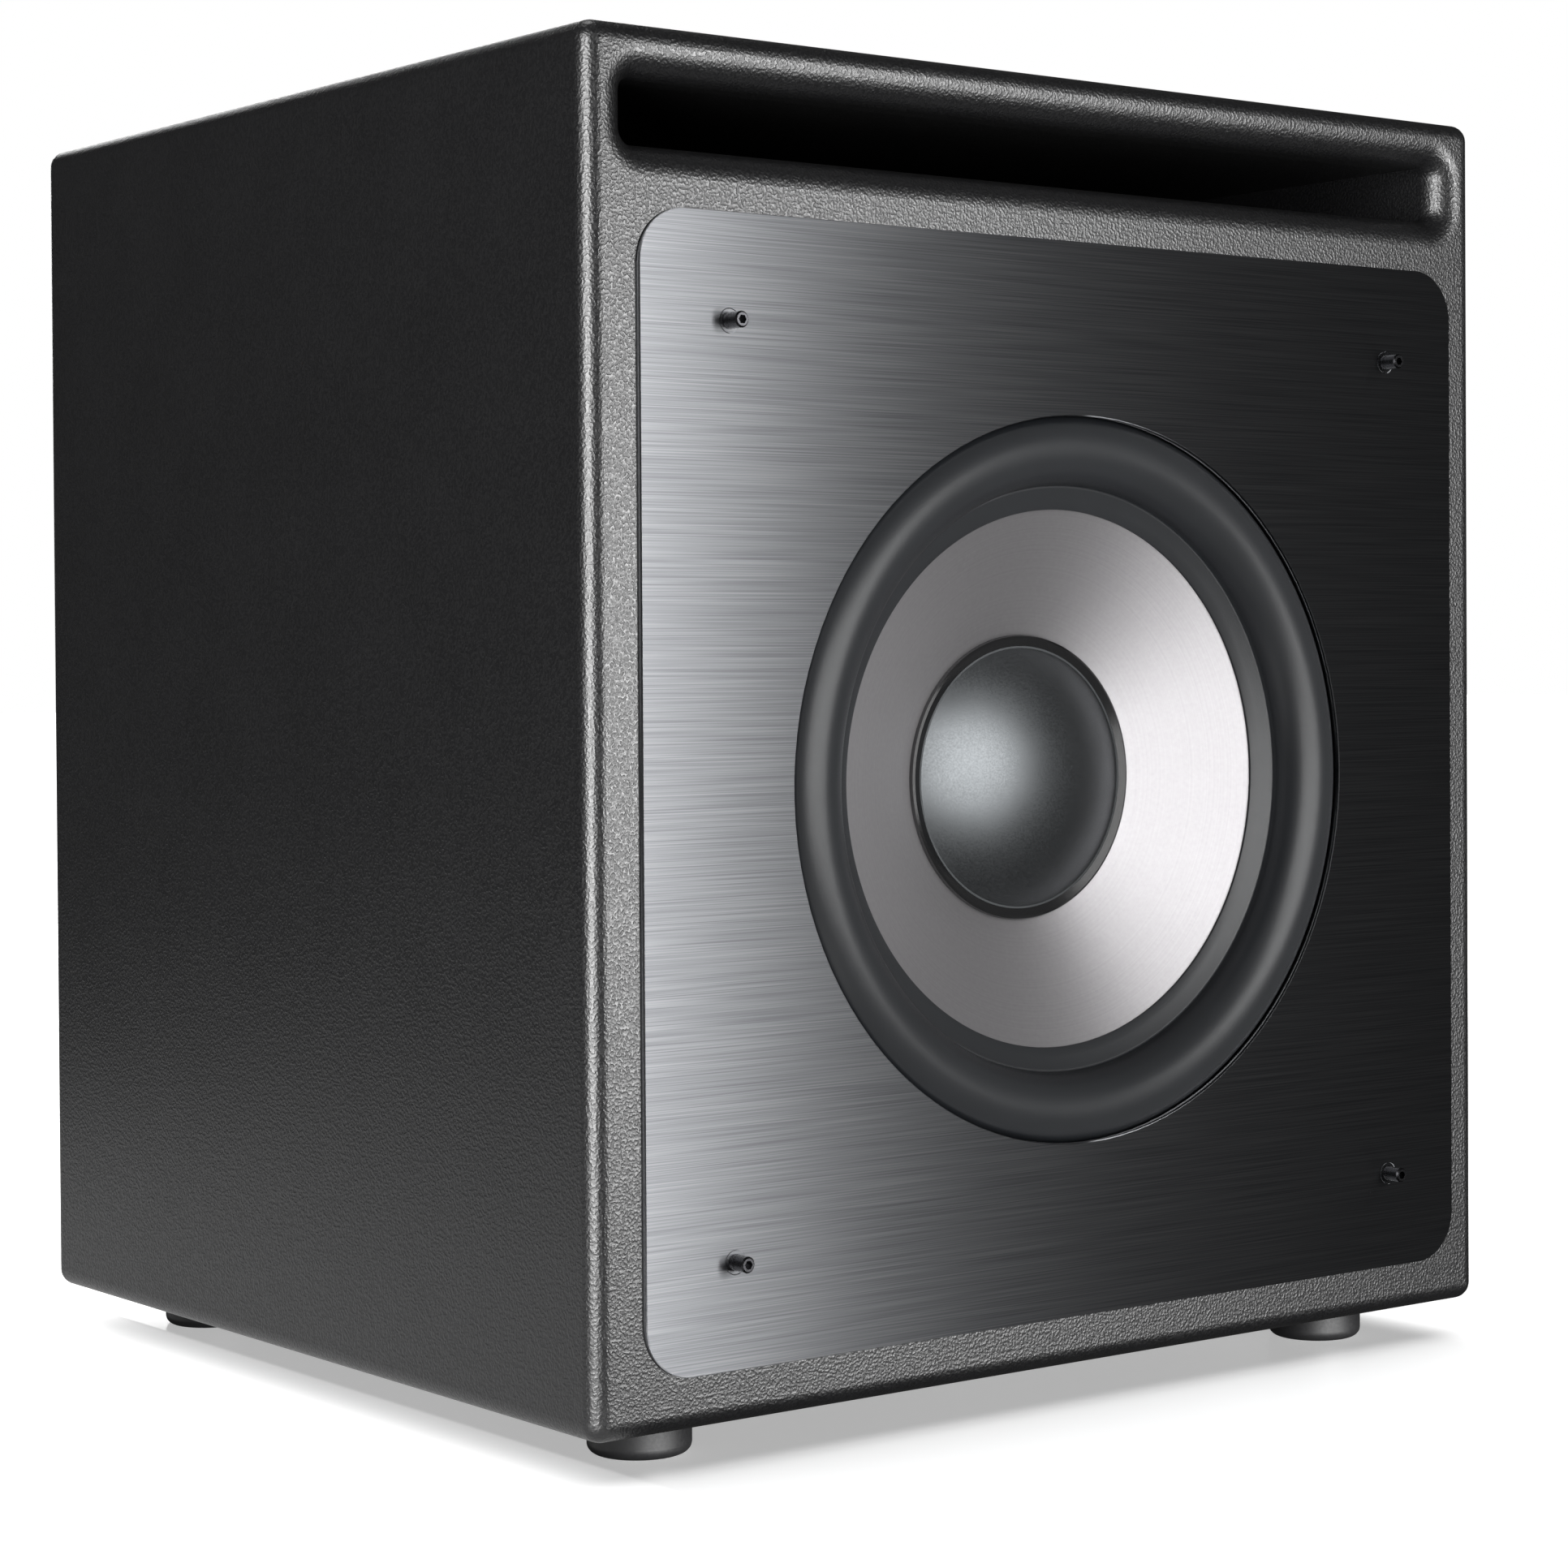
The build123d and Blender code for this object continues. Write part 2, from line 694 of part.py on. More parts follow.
def rocker_housing():
    x, z = rocker_place
    body = panel(22, 30, 2, amp_face, amp_face + 2, x, z)
    body += panel(18.6, 26.6, 1, amp_inner - 14, amp_face + 1, x, z)
    body -= panel(14, 21, 0.5, amp_inner - 10, amp_face + 3, x, z)
    return body - rocker_pin(rocker_pin_radius + pilot, 16)


def power_rocker():
    """Rocker dished between its two pads, on a round pivot pin."""
    x, z = rocker_place
    outline = make_face(Polyline((-3, -9.2), (4.2, -9.7), (2.4, 0), (4.2, 9.7), (-3, 9.2), close=True))
    body = extrude(Plane.YZ * outline, 6.6, both=True)
    body = chamfer(body.faces().sort_by(Axis.X)[0].edges() + body.faces().sort_by(Axis.X)[-1].edges(), 0.4)
    body = Pos(x, rocker_pivot, z) * Rot(rocker_tilt, 0, 0) * body
    return body + rocker_pin(rocker_pin_radius, 15.4)


drawer_z = inlet_place[1] - drawer_drop
pin_places = ((-7, -2), (0, 2), (7, -2))


def mains_inlet():
    """Three-pin appliance inlet with a slot for the fuse drawer below the socket."""
    x, z = inlet_place
    body = panel(inlet_width + 4, inlet_height + 2, 3, amp_face, amp_face + inlet_flange, x, z)
    body += panel(inlet_width - 3, inlet_height - 5, 2, amp_inner - 22, amp_face + 1, x, z)
    mouth = amp_face + inlet_flange + 1
    body -= panel(24, 16.5, 3, mouth - 18, mouth, x, z + socket_lift)
    body -= block(x - 10.5, x + 10.5, mouth - 24, mouth, drawer_z - 4, drawer_z + 4)
    for place in pin_places:
        body -= inlet_pin(*place)
    return body


def inlet_pin(dx, dz):
    x, z = inlet_place[0] + dx, inlet_place[1] + socket_lift + dz
    y1 = amp_face + inlet_flange - 5.5
    pin = block(x - 1, x + 1, amp_inner - 26, y1, z - 2, z + 2)
    return chamfer(pin.faces().sort_by(Axis.Y)[-1].edges(), 0.5)


def fuse_drawer():
    x, z = inlet_place[0], drawer_z
    y1 = amp_face + inlet_flange
    body = block(x - 10.1, x + 10.1, y1 - 21, y1 + 1.2, z - 3.6, z + 3.6)
    body -= block(x - 8, x + 8, y1 - 18, y1 - 2, z - 2.6, z + 5)
    return body - block(x - 3, x + 3, y1 + 0.4, y1 + 2, z - 4, z - 2)


def fuse():
    place = Pos(inlet_place[0], amp_face + inlet_flange - 10, drawer_z - 0.1)
    return place * Rot(0, 90, 0) * Cylinder(2.5, 15)


jack_length = 9.5
jack_radius = 4.15


def line_jack(x, z):
    """Shell with its mounting nut; the plug's sleeve grips the shell."""
    body = tube(jack_radius, 3.3, amp_inner - 8, amp_face + 2.5 + jack_length, x, z)
    nut = hexagon(11, amp_face, amp_face + 2.5, x, z)
    nut -= rod(jack_radius - 0.1, amp_face - 1, amp_face + 4, x, z)
    return body + nut


def jack_insulator(x, z):
    body = rod(3.3, amp_inner - 8, amp_face + 2.5 + jack_length - 1.5, x, z)
    return body - rod(1.6, amp_face - 2, amp_face + 20, x, z)


def eased_route(points):
    """Line through the points with corners rounded as widely as their runs allow."""
    runs = [math.dist(a, b) for a, b in zip(points, points[1:])]
    radii = []
    for i in range(1, len(points) - 1):
        before = Vector(*points[i]) - Vector(*points[i - 1])
        after = Vector(*points[i + 1]) - Vector(*points[i])
        turn = math.radians(before.get_angle(after))
        radii.append(0.45 * min(runs[i - 1], runs[i]) / math.tan(turn / 2))
    return FilletPolyline(*points, radius=radii)


def driver_cable():
    """Lead from the amplifier's cover through the brace to the driver's terminals."""
    x, z = cable_exit
    start = (x, cover_front, z)
    route = eased_route([start, (x, cover_front - 25, z), (x, 290, z - 25), (x, 240, z - 40),
                         (52, 195, z - 52), (30, 155, z - 55), (10, 118, z - 48),
                         (0, 88, terminal_z - 6), (0, 74, terminal_z), (0, 58, terminal_z)])
    return sweep(Plane(origin=start, z_dir=route % 0) * Circle(3), path=route)


def main():
    os.makedirs("parts", exist_ok=True)
    save("front_baffle", front_baffle())
    save("top_board", top_board())
    save("bottom_board", bottom_board())
    save("left_side_board", side_board(-1))
    save("right_side_board", side_board(1))
    save("rear_board", rear_board())
    save("port_shelf", port_shelf())
    save("window_brace", window_brace())
    save("glue_cleats", *cleats())
    save("damping_lining", *damping_lining())

    save("front_plate", front_plate())
    save("plate_backing", plate_backing())
    save("grille_posts", *[grille_post(x, z) for x, z in post_places])
    save("feet", *[foot(x, y) for x, y in foot_places])
    save("foot_screws", *[foot_screw(x, y) for x, y in foot_places])

    save("driver_basket", driver_basket())
    save("driver_gasket", driver_gasket())
    save("driver_screws", *[driver_screw(x, z) for x, z in screw_places])
    save("top_plate", top_plate())
    save("magnet", magnet())
    save("back_plate", back_plate())
    save("shorting_ring", shorting_ring())
    save("magnet_boot", magnet_boot())
    save("driver_terminals", driver_terminals())
    save("cone", cone())
    save("surround", surround())
    save("dust_cap", dust_cap())
    save("cap_trim_ring", cap_trim_ring())
    save("coil_former", coil_former())
    save("voice_coil", voice_coil())
    save("spider", spider())
    save("tinsel_leads", tinsel_lead(-1), tinsel_lead(1))

    save("amp_plate", amp_plate())
    save("amp_gasket", amp_gasket())
    save("amp_screws", *[amp_screw(x, z) for x, z in amp_screw_places])
    save("heat_sink", heat_sink())
    save("amp_cover", amp_cover())
    save("circuit_board", circuit_board())
    save("transformer", transformer())
    save("capacitors", *[capacitor(x, amp_centre - 16) for x in (-50, 50)])
    save("power_transistors", *[power_transistor(x, amp_centre + 46) for x in (-66, -22, 22, 66)])
    save("potentiometers", potentiometer(*level_place), potentiometer(*crossover_place))
    save("level_shaft", control_shaft(*level_place))
    save("level_knob", knob(*level_place))
    save("crossover_shaft", control_shaft(*crossover_place))
    save("crossover_knob", knob(*crossover_place))
    save("switch_housings", switch_housing(*phase_place), switch_housing(*mode_place))
    save("phase_slider", slider(phase_place[0] - switch_travel, phase_place[1]))
    save("mode_slider", slider(*mode_place))
    save("rocker_housing", rocker_housing())
    save("power_rocker", power_rocker())
    save("mains_inlet", mains_inlet())
    save("inlet_pins", *[inlet_pin(*place) for place in pin_places])
    save("fuse_drawer", fuse_drawer())
    save("fuse", fuse())
    save("line_jacks", *[line_jack(x, z) for x, z in jack_places])
    save("jack_insulators", *[jack_insulator(x, z) for x, z in jack_places])
    save("driver_cable", driver_cable())


main()
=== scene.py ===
import bpy
import bmesh
import json
import math
from mathutils import Matrix, Vector

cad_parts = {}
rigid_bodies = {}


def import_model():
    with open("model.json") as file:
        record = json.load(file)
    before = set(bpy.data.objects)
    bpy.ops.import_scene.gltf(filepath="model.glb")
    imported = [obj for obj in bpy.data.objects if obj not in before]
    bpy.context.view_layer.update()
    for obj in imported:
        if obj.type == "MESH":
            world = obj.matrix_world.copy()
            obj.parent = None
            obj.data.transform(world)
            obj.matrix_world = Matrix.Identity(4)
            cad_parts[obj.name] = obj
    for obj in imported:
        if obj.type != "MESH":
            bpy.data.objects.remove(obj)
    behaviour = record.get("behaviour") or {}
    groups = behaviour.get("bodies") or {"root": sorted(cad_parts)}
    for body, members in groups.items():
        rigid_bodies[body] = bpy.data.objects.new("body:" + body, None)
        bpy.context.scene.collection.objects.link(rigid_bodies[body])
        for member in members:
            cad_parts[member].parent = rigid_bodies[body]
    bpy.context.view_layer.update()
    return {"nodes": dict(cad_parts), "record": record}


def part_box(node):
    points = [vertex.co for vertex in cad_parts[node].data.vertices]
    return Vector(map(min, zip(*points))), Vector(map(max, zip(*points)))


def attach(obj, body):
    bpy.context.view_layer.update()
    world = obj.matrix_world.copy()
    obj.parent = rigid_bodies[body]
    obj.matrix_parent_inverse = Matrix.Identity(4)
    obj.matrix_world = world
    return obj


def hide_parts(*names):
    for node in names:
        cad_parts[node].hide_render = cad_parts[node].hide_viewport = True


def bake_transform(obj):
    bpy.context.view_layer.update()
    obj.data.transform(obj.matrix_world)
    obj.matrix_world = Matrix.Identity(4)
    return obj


# A slot-ported subwoofer: painted MDF box, brushed front plate, metal cone, rear plate amplifier.
# Metres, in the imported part's own frame: -Y is the front, +Z is up, the floor is at z = 0.

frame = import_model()
MM = 0.001


# ---- places read from the frame ----
plate_low, plate_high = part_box("front_plate")
driver = Vector((0, 0, (plate_low.z + plate_high.z) / 2))
baffle_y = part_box("front_baffle")[0].y
box_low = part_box("bottom_board")[0]
box_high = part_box("top_board")[1]
floor_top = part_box("bottom_board")[1].z
shelf_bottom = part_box("port_shelf")[0].z
brace_low, brace_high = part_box("window_brace")
rear_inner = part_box("rear_board")[0].y
inner_half = brace_high.x
amp_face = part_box("amp_plate")[1].y
amp_middle = sum((corner.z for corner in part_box("amp_plate"))) / 2
cover_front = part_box("amp_cover")[0].y


def deep(millimetres):
    """Y of a depth behind the baffle's front face."""
    return baffle_y + millimetres * MM


# ---- camera, light and floor ----
def aim(thing, place, yaw, pitch, roll=0.0):
    """Points -Z of a camera or lamp: yaw turns from +Y towards +X, pitch lifts, roll turns the picture."""
    ahead = Vector((math.sin(yaw) * math.cos(pitch), math.cos(yaw) * math.cos(pitch), math.sin(pitch)))
    right = Vector((math.cos(yaw), -math.sin(yaw), 0))
    up = right.cross(ahead)
    right, up = (math.cos(roll) * right + math.sin(roll) * up, math.cos(roll) * up - math.sin(roll) * right)
    thing.matrix_world = Matrix.Translation(place) @ Matrix((right, up, -ahead)).transposed().to_4x4()


def link(thing):
    """Puts an object in the scene."""
    bpy.context.scene.collection.objects.link(thing)
    return thing


def add_camera():
    """Low on the box's left, at the height of its middle, looking level."""
    camera = link(bpy.data.objects.new("camera", bpy.data.cameras.new("camera")))
    camera.data.lens = 82.18
    camera.data.shift_x = -0.0359
    camera.data.shift_y = -0.0509
    camera.data.clip_start = 0.05
    place = Vector((-0.9257, baffle_y - 1.0367, box_low.z + 0.2794))
    aim(camera, place, math.radians(37.995), math.radians(-0.898), math.radians(-0.346))
    bpy.context.scene.camera = camera


def softbox(name, size, place, target, radiance, shape="RECTANGLE"):
    """Studio light with a flat face; radiance is what a mirror would show."""
    data = bpy.data.lights.new(name, "AREA")
    data.shape = shape
    data.size, data.size_y = size
    data.energy = radiance * math.pi * size[0] * size[1]
    lamp = link(bpy.data.objects.new(name, data))
    ahead = (target - place).normalized()
    aim(lamp, place, math.atan2(ahead.x, ahead.y), math.asin(ahead.z))
    return lamp


def studio_sheet(name, x, y, z, material, unseen_by):
    """Level sheet of the studio from x[0] to x[1] and y[0] to y[1], left out for these kinds of ray."""
    shape = bmesh.new()
    bmesh.ops.create_grid(shape, x_segments=1, y_segments=1, size=0.5)
    bmesh.ops.scale(shape, vec=(x[1] - x[0], y[1] - y[0], 1), verts=shape.verts)
    bmesh.ops.translate(shape, vec=(sum(x) / 2, sum(y) / 2, z), verts=shape.verts)
    mesh = bpy.data.meshes.new(name)
    shape.to_mesh(mesh)
    shape.free()
    mesh.materials.append(material)
    sheet = link(bpy.data.objects.new(name, mesh))
    for kind in unseen_by:
        setattr(sheet, "visible_" + kind, False)


def floor_card(name, x, y, strength):
    """White card beside the box that only reflections see: it lights the foot of each side wall."""
    glow = surface(name, "#000000", 0.5, Emission_Color=(1, 1, 1, 1), Emission_Strength=strength)[0]
    studio_sheet(name, x, y, 1 * MM, glow, ("camera", "diffuse", "shadow"))


def add_flag():
    """Flag just over the top board, seen by no ray but a lamp's own: keeps the front lamps off the top."""
    overhang = 30 * MM
    studio_sheet("flag", (box_low.x - overhang, box_high.x + overhang), (baffle_y, box_high.y + overhang),
                 box_high.z + 2 * MM, finishes["black_backing"],
                 ("camera", "diffuse", "glossy", "transmission", "volume_scatter"))


def group_of(name, names):
    """Collection of these objects, outside the scene, for a lamp's links."""
    group = bpy.data.collections.new(name)
    for member in names:
        group.objects.link(bpy.data.objects[member])
    return group


def light_only(lamp, names):
    """Keeps a lamp to these pieces, as flags and grids do in a studio."""
    lamp.light_linking.receiver_collection = group_of(lamp.name, names)
    return lamp


def sky(name, energy, angle, yaw, pitch):
    """Broad even light from far away, travelling along yaw and pitch."""
    data = bpy.data.lights.new(name, "SUN")
    data.energy = energy
    data.angle = math.radians(angle)
    lamp = link(bpy.data.objects.new(name, data))
    aim(lamp, Vector((0, 0, 3)), math.radians(yaw), math.radians(pitch))
    return lamp


painted = ["front_baffle", "top_board", "bottom_board", "left_side_board", "right_side_board", "rear_board",
           "port_shelf"]
driver_face = ["surround_roll", "cap_trim_ring", "driver_basket", "driver_screws", "driver_gasket"]


def add_light():
    """A key in front for the plate, softer ones for the driver, narrow ones for the painted box."""
    shown = [thing for thing in bpy.data.objects if thing.type in ("MESH", "CURVE") and not thing.hide_render]
    everything = [thing.name for thing in shown]
    add_flag()
    lit_alone = painted + driver_face + ["cone", "dust_cap", "floor"]
    rest = [name for name in everything if name not in lit_alone]
    front = Vector((-0.03, -2.0, 0.44))
    straight, dipped = front + Vector((0, 1, 0)), front + Vector((0, 1, -0.03))
    light_only(softbox("plate_softbox", (2.25, 1.34), front, straight, 16.5), rest)
    light_only(softbox("cone_softbox", (2.1, 2.7), front, dipped, 3.5), ["cone"])
    light_only(sky("cone_fill", 0.45, 180, -35, 0), ["cone"])
    light_only(softbox("driver_softbox", (2.1, 1.3), front, dipped, 3.4), driver_face)
    light_only(softbox("cap_softbox", (1.9, 1.5), front, dipped, 3.3, "ELLIPSE"), ["dust_cap"])
    light_only(sky("driver_fill", 0.6, 180, -35, 0), driver_face)
    right, upper, left = Vector((0.98, -2.0, 0.30)), Vector((0.98, -2.0, 0.98)), Vector((-1.95, -1.25, 0.3))
    right_key = softbox("right_key", (0.42, 1.10), right, Vector((0, 0, 0.3)), 31.0)
    upper_key = softbox("upper_key", (0.42, 0.6), upper, Vector((0, 0, 0.6)), 31.0)
    left_key = softbox("left_key", (1.3, 1.5), left, Vector((-0.23, -0.22, 0.27)), 18.5)
    light_only(right_key, [name for name in painted if name != "top_board"])
    light_only(upper_key, ["top_board"])
    light_only(left_key, painted)
    flagged = (right_key, upper_key, left_key)
    blockers = painted + ["plate_backing", "flag"]
    for lamp in flagged:
        lamp.light_linking.blocker_collection = group_of(lamp.name + "_blockers", blockers)
    light_only(sky("floor_light", 4.2, 100, 180, -80), ["floor"])
    softbox("top_softbox", (0.9, 0.9), Vector((0, 0.5, 2.4)), Vector((0, 0.2, 0)), 3.0)
    softbox("rear_softbox", (1.6, 1.2), Vector((0.9, 2.6, 1.2)), Vector((0.1, 0.2, 0.25)), 5.0)
    for lamp in bpy.data.objects[:]:
        if lamp.type == "LIGHT" and lamp not in flagged:
            lamp.light_linking.blocker_collection = group_of(lamp.name + "_blockers", everything)
    floor_card("left_floor_card", (-0.75, -0.20), (-0.45, 0.9), 0.68)
    floor_card("right_floor_card", (0.20, 0.75), (-0.1, 0.9), 0.68)
    light_world()


def light_world():
    """White to the camera, and nearly dark to everything else, so the lamps do the lighting."""
    world = bpy.data.worlds.new("studio")
    bpy.context.scene.world = world
    world.use_nodes = True
    tree = world.node_tree
    tree.nodes["Background"].inputs["Color"].default_value = (1, 1, 1, 1)
    path = tree.nodes.new("ShaderNodeLightPath")
    level = tree.nodes.new("ShaderNodeMapRange")
    level.inputs["To Min"].default_value = 0.045
    level.inputs["To Max"].default_value = 1.0
    tree.links.new(path.outputs["Is Camera Ray"], level.inputs["Value"])
    tree.links.new(level.outputs["Result"], tree.nodes["Background"].inputs["Strength"])
    bpy.context.scene.view_settings.view_transform = "Standard"


# ---- material helpers ----
def linear(hex_colour):
    """sRGB hex colour as the linear RGBA that shaders take."""
    parts = [int(hex_colour[i:i + 2], 16) / 255 for i in (1, 3, 5)]
    return tuple(c / 12.92 if c <= 0.04045 else ((c + 0.055) / 1.055) ** 2.4 for c in parts) + (1.0,)


def add(material, kind, inputs=None, **settings):
    """Adds one shader node with its settings; an input is a value or another node's output."""
    made = material.node_tree.nodes.new(kind)
    for name, value in settings.items():
        setattr(made, name, value)
    for socket, value in (inputs or {}).items():
        if isinstance(value, bpy.types.NodeSocket):
            material.node_tree.links.new(value, made.inputs[socket])
        else:
            made.inputs[socket].default_value = value
    return made


def surface(name, colour, roughness, **inputs):
    """New material whose Principled shader has these constant values, and its object-space position."""
    material = bpy.data.materials.new(name)
    material.use_nodes = True
    shader = material.node_tree.nodes["Principled BSDF"]
    shader.inputs["Base Color"].default_value = linear(colour)
    shader.inputs["Roughness"].default_value = roughness
    for socket, value in inputs.items():
        shader.inputs[socket.replace("_", " ")].default_value = value
    place = add(material, "ShaderNodeTexCoord").outputs["Object"]
    return material, shader, place


def join(material, output, shader, socket):
    """Feeds a node's output into one of the shader's sockets."""
    material.node_tree.links.new(output, shader.inputs[socket])


def per(millimetres):
    """Texture scale whose features are about this far apart."""
    return 1000.0 / millimetres


def spread(material, value, low, high, start=0.3, end=0.7):
    """Turns a noise value between start and end into low to high."""
    made = add(material, "ShaderNodeMapRange", {"Value": value, "From Min": start, "From Max": end,
                                                "To Min": low, "To Max": high})
    return made.outputs["Result"]


def blended(material, factor, first, second):
    """Colour between two hex colours, or node outputs, by a factor."""
    ends = [linear(c) if isinstance(c, str) else c for c in (first, second)]
    made = add(material, "ShaderNodeMix", {0: factor, 6: ends[0], 7: ends[1]}, data_type="RGBA")
    return made.outputs[2]


def math_of(material, operation, *values):
    """Result of one sum on these values or outputs."""
    made = add(material, "ShaderNodeMath", dict(enumerate(values)), operation=operation)
    return made.outputs[0]


def math_chain(material, value, *steps):
    """Passes a value through (operation, second value) steps in turn."""
    for operation, second in steps:
        value = math_of(material, operation, value, *([] if second is None else [second]))
    return value


def bumped(material, shader, height, depth):
    """Bump of this many millimetres from a height of 0 to 1."""
    made = add(material, "ShaderNodeBump", {"Height": height, "Strength": 1.0, "Distance": depth * MM})
    join(material, made.outputs["Normal"], shader, "Normal")


# ---- finishes ----
def textured_paint():
    """Sprayed textured lacquer on MDF: near black, semi-gloss, its raised drops about 1 mm apart
    catch the light as speckle, and the hollows between them are duller."""
    material, shader, place = surface("textured_black_lacquer_on_mdf", "#18181a", 0.4, IOR=1.6)
    drops = add(material, "ShaderNodeTexNoise", {"Vector": place, "Scale": per(1.1), "Detail": 1.0,
                                                 "Roughness": 0.4})
    specks = add(material, "ShaderNodeTexNoise", {"Vector": place, "Scale": per(5.0), "Detail": 1.0})
    raised = spread(material, drops.outputs["Fac"], 0.0, 1.0, 0.35, 0.65)
    height = math_of(material, "MULTIPLY_ADD", specks.outputs["Fac"], 0.15, raised)
    bumped(material, shader, height, 0.085)
    join(material, spread(material, height, 0.43, 0.31, 0.1, 1.05), shader, "Roughness")
    patch = add(material, "ShaderNodeTexNoise", {"Vector": place, "Scale": per(45.0), "Detail": 2.0})
    join(material, blended(material, patch.outputs["Fac"], "#09090a", "#0e0e0f"), shader, "Base Color")
    return material


def overspray_board():
    """MDF duct lining dusted with black overspray: brown-black, dull and slightly fibrous."""
    material, shader, place = surface("black_oversprayed_mdf", "#1a1714", 0.6)
    fibre = add(material, "ShaderNodeTexNoise", {"Vector": place, "Scale": per(1.5), "Detail": 4.0})
    cloud = add(material, "ShaderNodeTexNoise", {"Vector": place, "Scale": per(60.0), "Detail": 1.0})
    brown = blended(material, fibre.outputs["Fac"], "#15120f", "#2a221b")
    join(material, blended(material, cloud.outputs["Fac"], brown, "#131211"), shader, "Base Color")
    bumped(material, shader, fibre.outputs["Fac"], 0.15)
    return material


def raw_board():
    """Unfinished MDF: flat tan with a felted fibre grain and darker specks."""
    material, shader, place = surface("raw_mdf", "#a98a63", 0.85)
    fibre = add(material, "ShaderNodeTexNoise", {"Vector": place, "Scale": per(1.2), "Detail": 5.0,
                                                 "Roughness": 0.7})
    join(material, blended(material, spread(material, fibre.outputs["Fac"], 0, 1), "#8e7150", "#bb9b72"),
         shader, "Base Color")
    bumped(material, shader, fibre.outputs["Fac"], 0.08)
    return material


def brushed_plate():
    """Black-anodised aluminium brushed along X: thin straight scratches some 60 mm long that smear
    reflections up and down but not sideways, so the sheen falls off across the plate."""
    material, shader, place = surface("brushed_black_anodised_aluminium", "#66686c", 0.41, Metallic=1.0,
                                      Anisotropic=1.0)
    # real scratches are near 0.1 mm; they are drawn 0.3 and 0.5 mm apart so that they show
    stretched = [add(material, "ShaderNodeMapping", {"Vector": place, "Scale": (along, 1.0, 1.0)})
                 for along in (0.004, 0.008)]
    thin, broad = (mapping.outputs["Vector"] for mapping in stretched)
    fine = add(material, "ShaderNodeTexNoise", {"Vector": thin, "Scale": per(0.3), "Detail": 1.0})
    coarse = add(material, "ShaderNodeTexNoise", {"Vector": broad, "Scale": per(0.5), "Detail": 0.0})
    both = math_of(material, "ADD", fine.outputs["Fac"], coarse.outputs["Fac"])
    shade = spread(material, both, 0.0, 1.0, 0.65, 1.35)
    join(material, blended(material, shade, "#626366", "#7b7c7e"), shader, "Base Color")
    tangent = add(material, "ShaderNodeTangent", direction_type="RADIAL", axis="X")
    join(material, tangent.outputs["Tangent"], shader, "Tangent")
    return material


def spun_cone():
    """Spun aluminium with a clear coat of lacquer: silver with a faint warm mauve cast, hair-fine
    turning lines round the axis, and soft fan-shaped highlights."""
    material, shader, place = surface("spun_aluminium_cone", "#a19fa1", 0.44, Metallic=1.0, Anisotropic=0.6,
                                      Anisotropic_Rotation=0.25)
    centred = add(material, "ShaderNodeMapping", {"Vector": place, "Location": (0, 0, -driver.z)})
    flat = add(material, "ShaderNodeSeparateXYZ", {"Vector": centred.outputs["Vector"]})
    x, z = flat.outputs["X"], flat.outputs["Z"]
    squared = math_of(material, "MULTIPLY_ADD", z, z, math_of(material, "MULTIPLY", x, x))
    turned = add(material, "ShaderNodeCombineXYZ", {"X": math_of(material, "SQRT", squared)})
    lines = add(material, "ShaderNodeTexNoise", {"Vector": turned.outputs["Vector"], "Scale": per(0.9),
                                                 "Detail": 4.0, "Roughness": 0.8})
    grain = add(material, "ShaderNodeTexNoise", {"Vector": place, "Scale": per(1.6), "Detail": 3.0})
    height = math_of(material, "MULTIPLY_ADD", grain.outputs["Fac"], 0.4, lines.outputs["Fac"])
    join(material, blended(material, spread(material, height, 0, 1, 0.45, 0.95), "#9b999b", "#a8a6a8"),
         shader, "Base Color")
    bumped(material, shader, height, 0.006)
    tangent = add(material, "ShaderNodeTangent", direction_type="RADIAL", axis="Y")
    join(material, tangent.outputs["Tangent"], shader, "Tangent")
    return material


def moulded(name, colour, roughness, grain, depth, shift=0.12, **inputs):
    """Moulded, cast, coated or plated surface whose fine grain keeps its highlight from looking polished.

    grain and depth are the grain's spacing and height in millimetres; shift varies the roughness."""
    material, shader, place = surface(name, colour, roughness, **inputs)
    noise = add(material, "ShaderNodeTexNoise", {"Vector": place, "Scale": per(grain), "Detail": 2.0})
    cloud = add(material, "ShaderNodeTexNoise", {"Vector": place, "Scale": per(grain * 30), "Detail": 2.0})
    bumped(material, shader, noise.outputs["Fac"], depth)
    smoother, rougher = roughness * (1 - shift), min(1.0, roughness * (1 + shift))
    join(material, spread(material, noise.outputs["Fac"], smoother, rougher), shader, "Roughness")
    darker, lighter = (tuple(c * share for c in linear(colour)[:3]) + (1.0,) for share in (0.86, 1.12))
    join(material, blended(material, cloud.outputs["Fac"], darker, lighter), shader, "Base Color")
    return material


def wadding():
    """Bonded polyester wadding: off-white tangled fibre with soft tufts and no gloss."""
    material, shader, place = surface("polyester_wadding", "#d9d7cf", 0.95, Sheen_Weight=0.4)
    fibre = add(material, "ShaderNodeTexNoise", {"Vector": place, "Scale": per(1.4), "Detail": 6.0,
                                                 "Roughness": 0.75, "Distortion": 2.5})
    tuft = add(material, "ShaderNodeTexNoise", {"Vector": place, "Scale": per(18.0), "Detail": 2.0})
    both = math_of(material, "ADD", fibre.outputs["Fac"], tuft.outputs["Fac"])
    join(material, blended(material, spread(material, both, 0, 1, 0.75, 1.25), "#b9b6ac", "#e6e4dd"),
         shader, "Base Color")
    bumped(material, shader, both, 1.2)
    return material


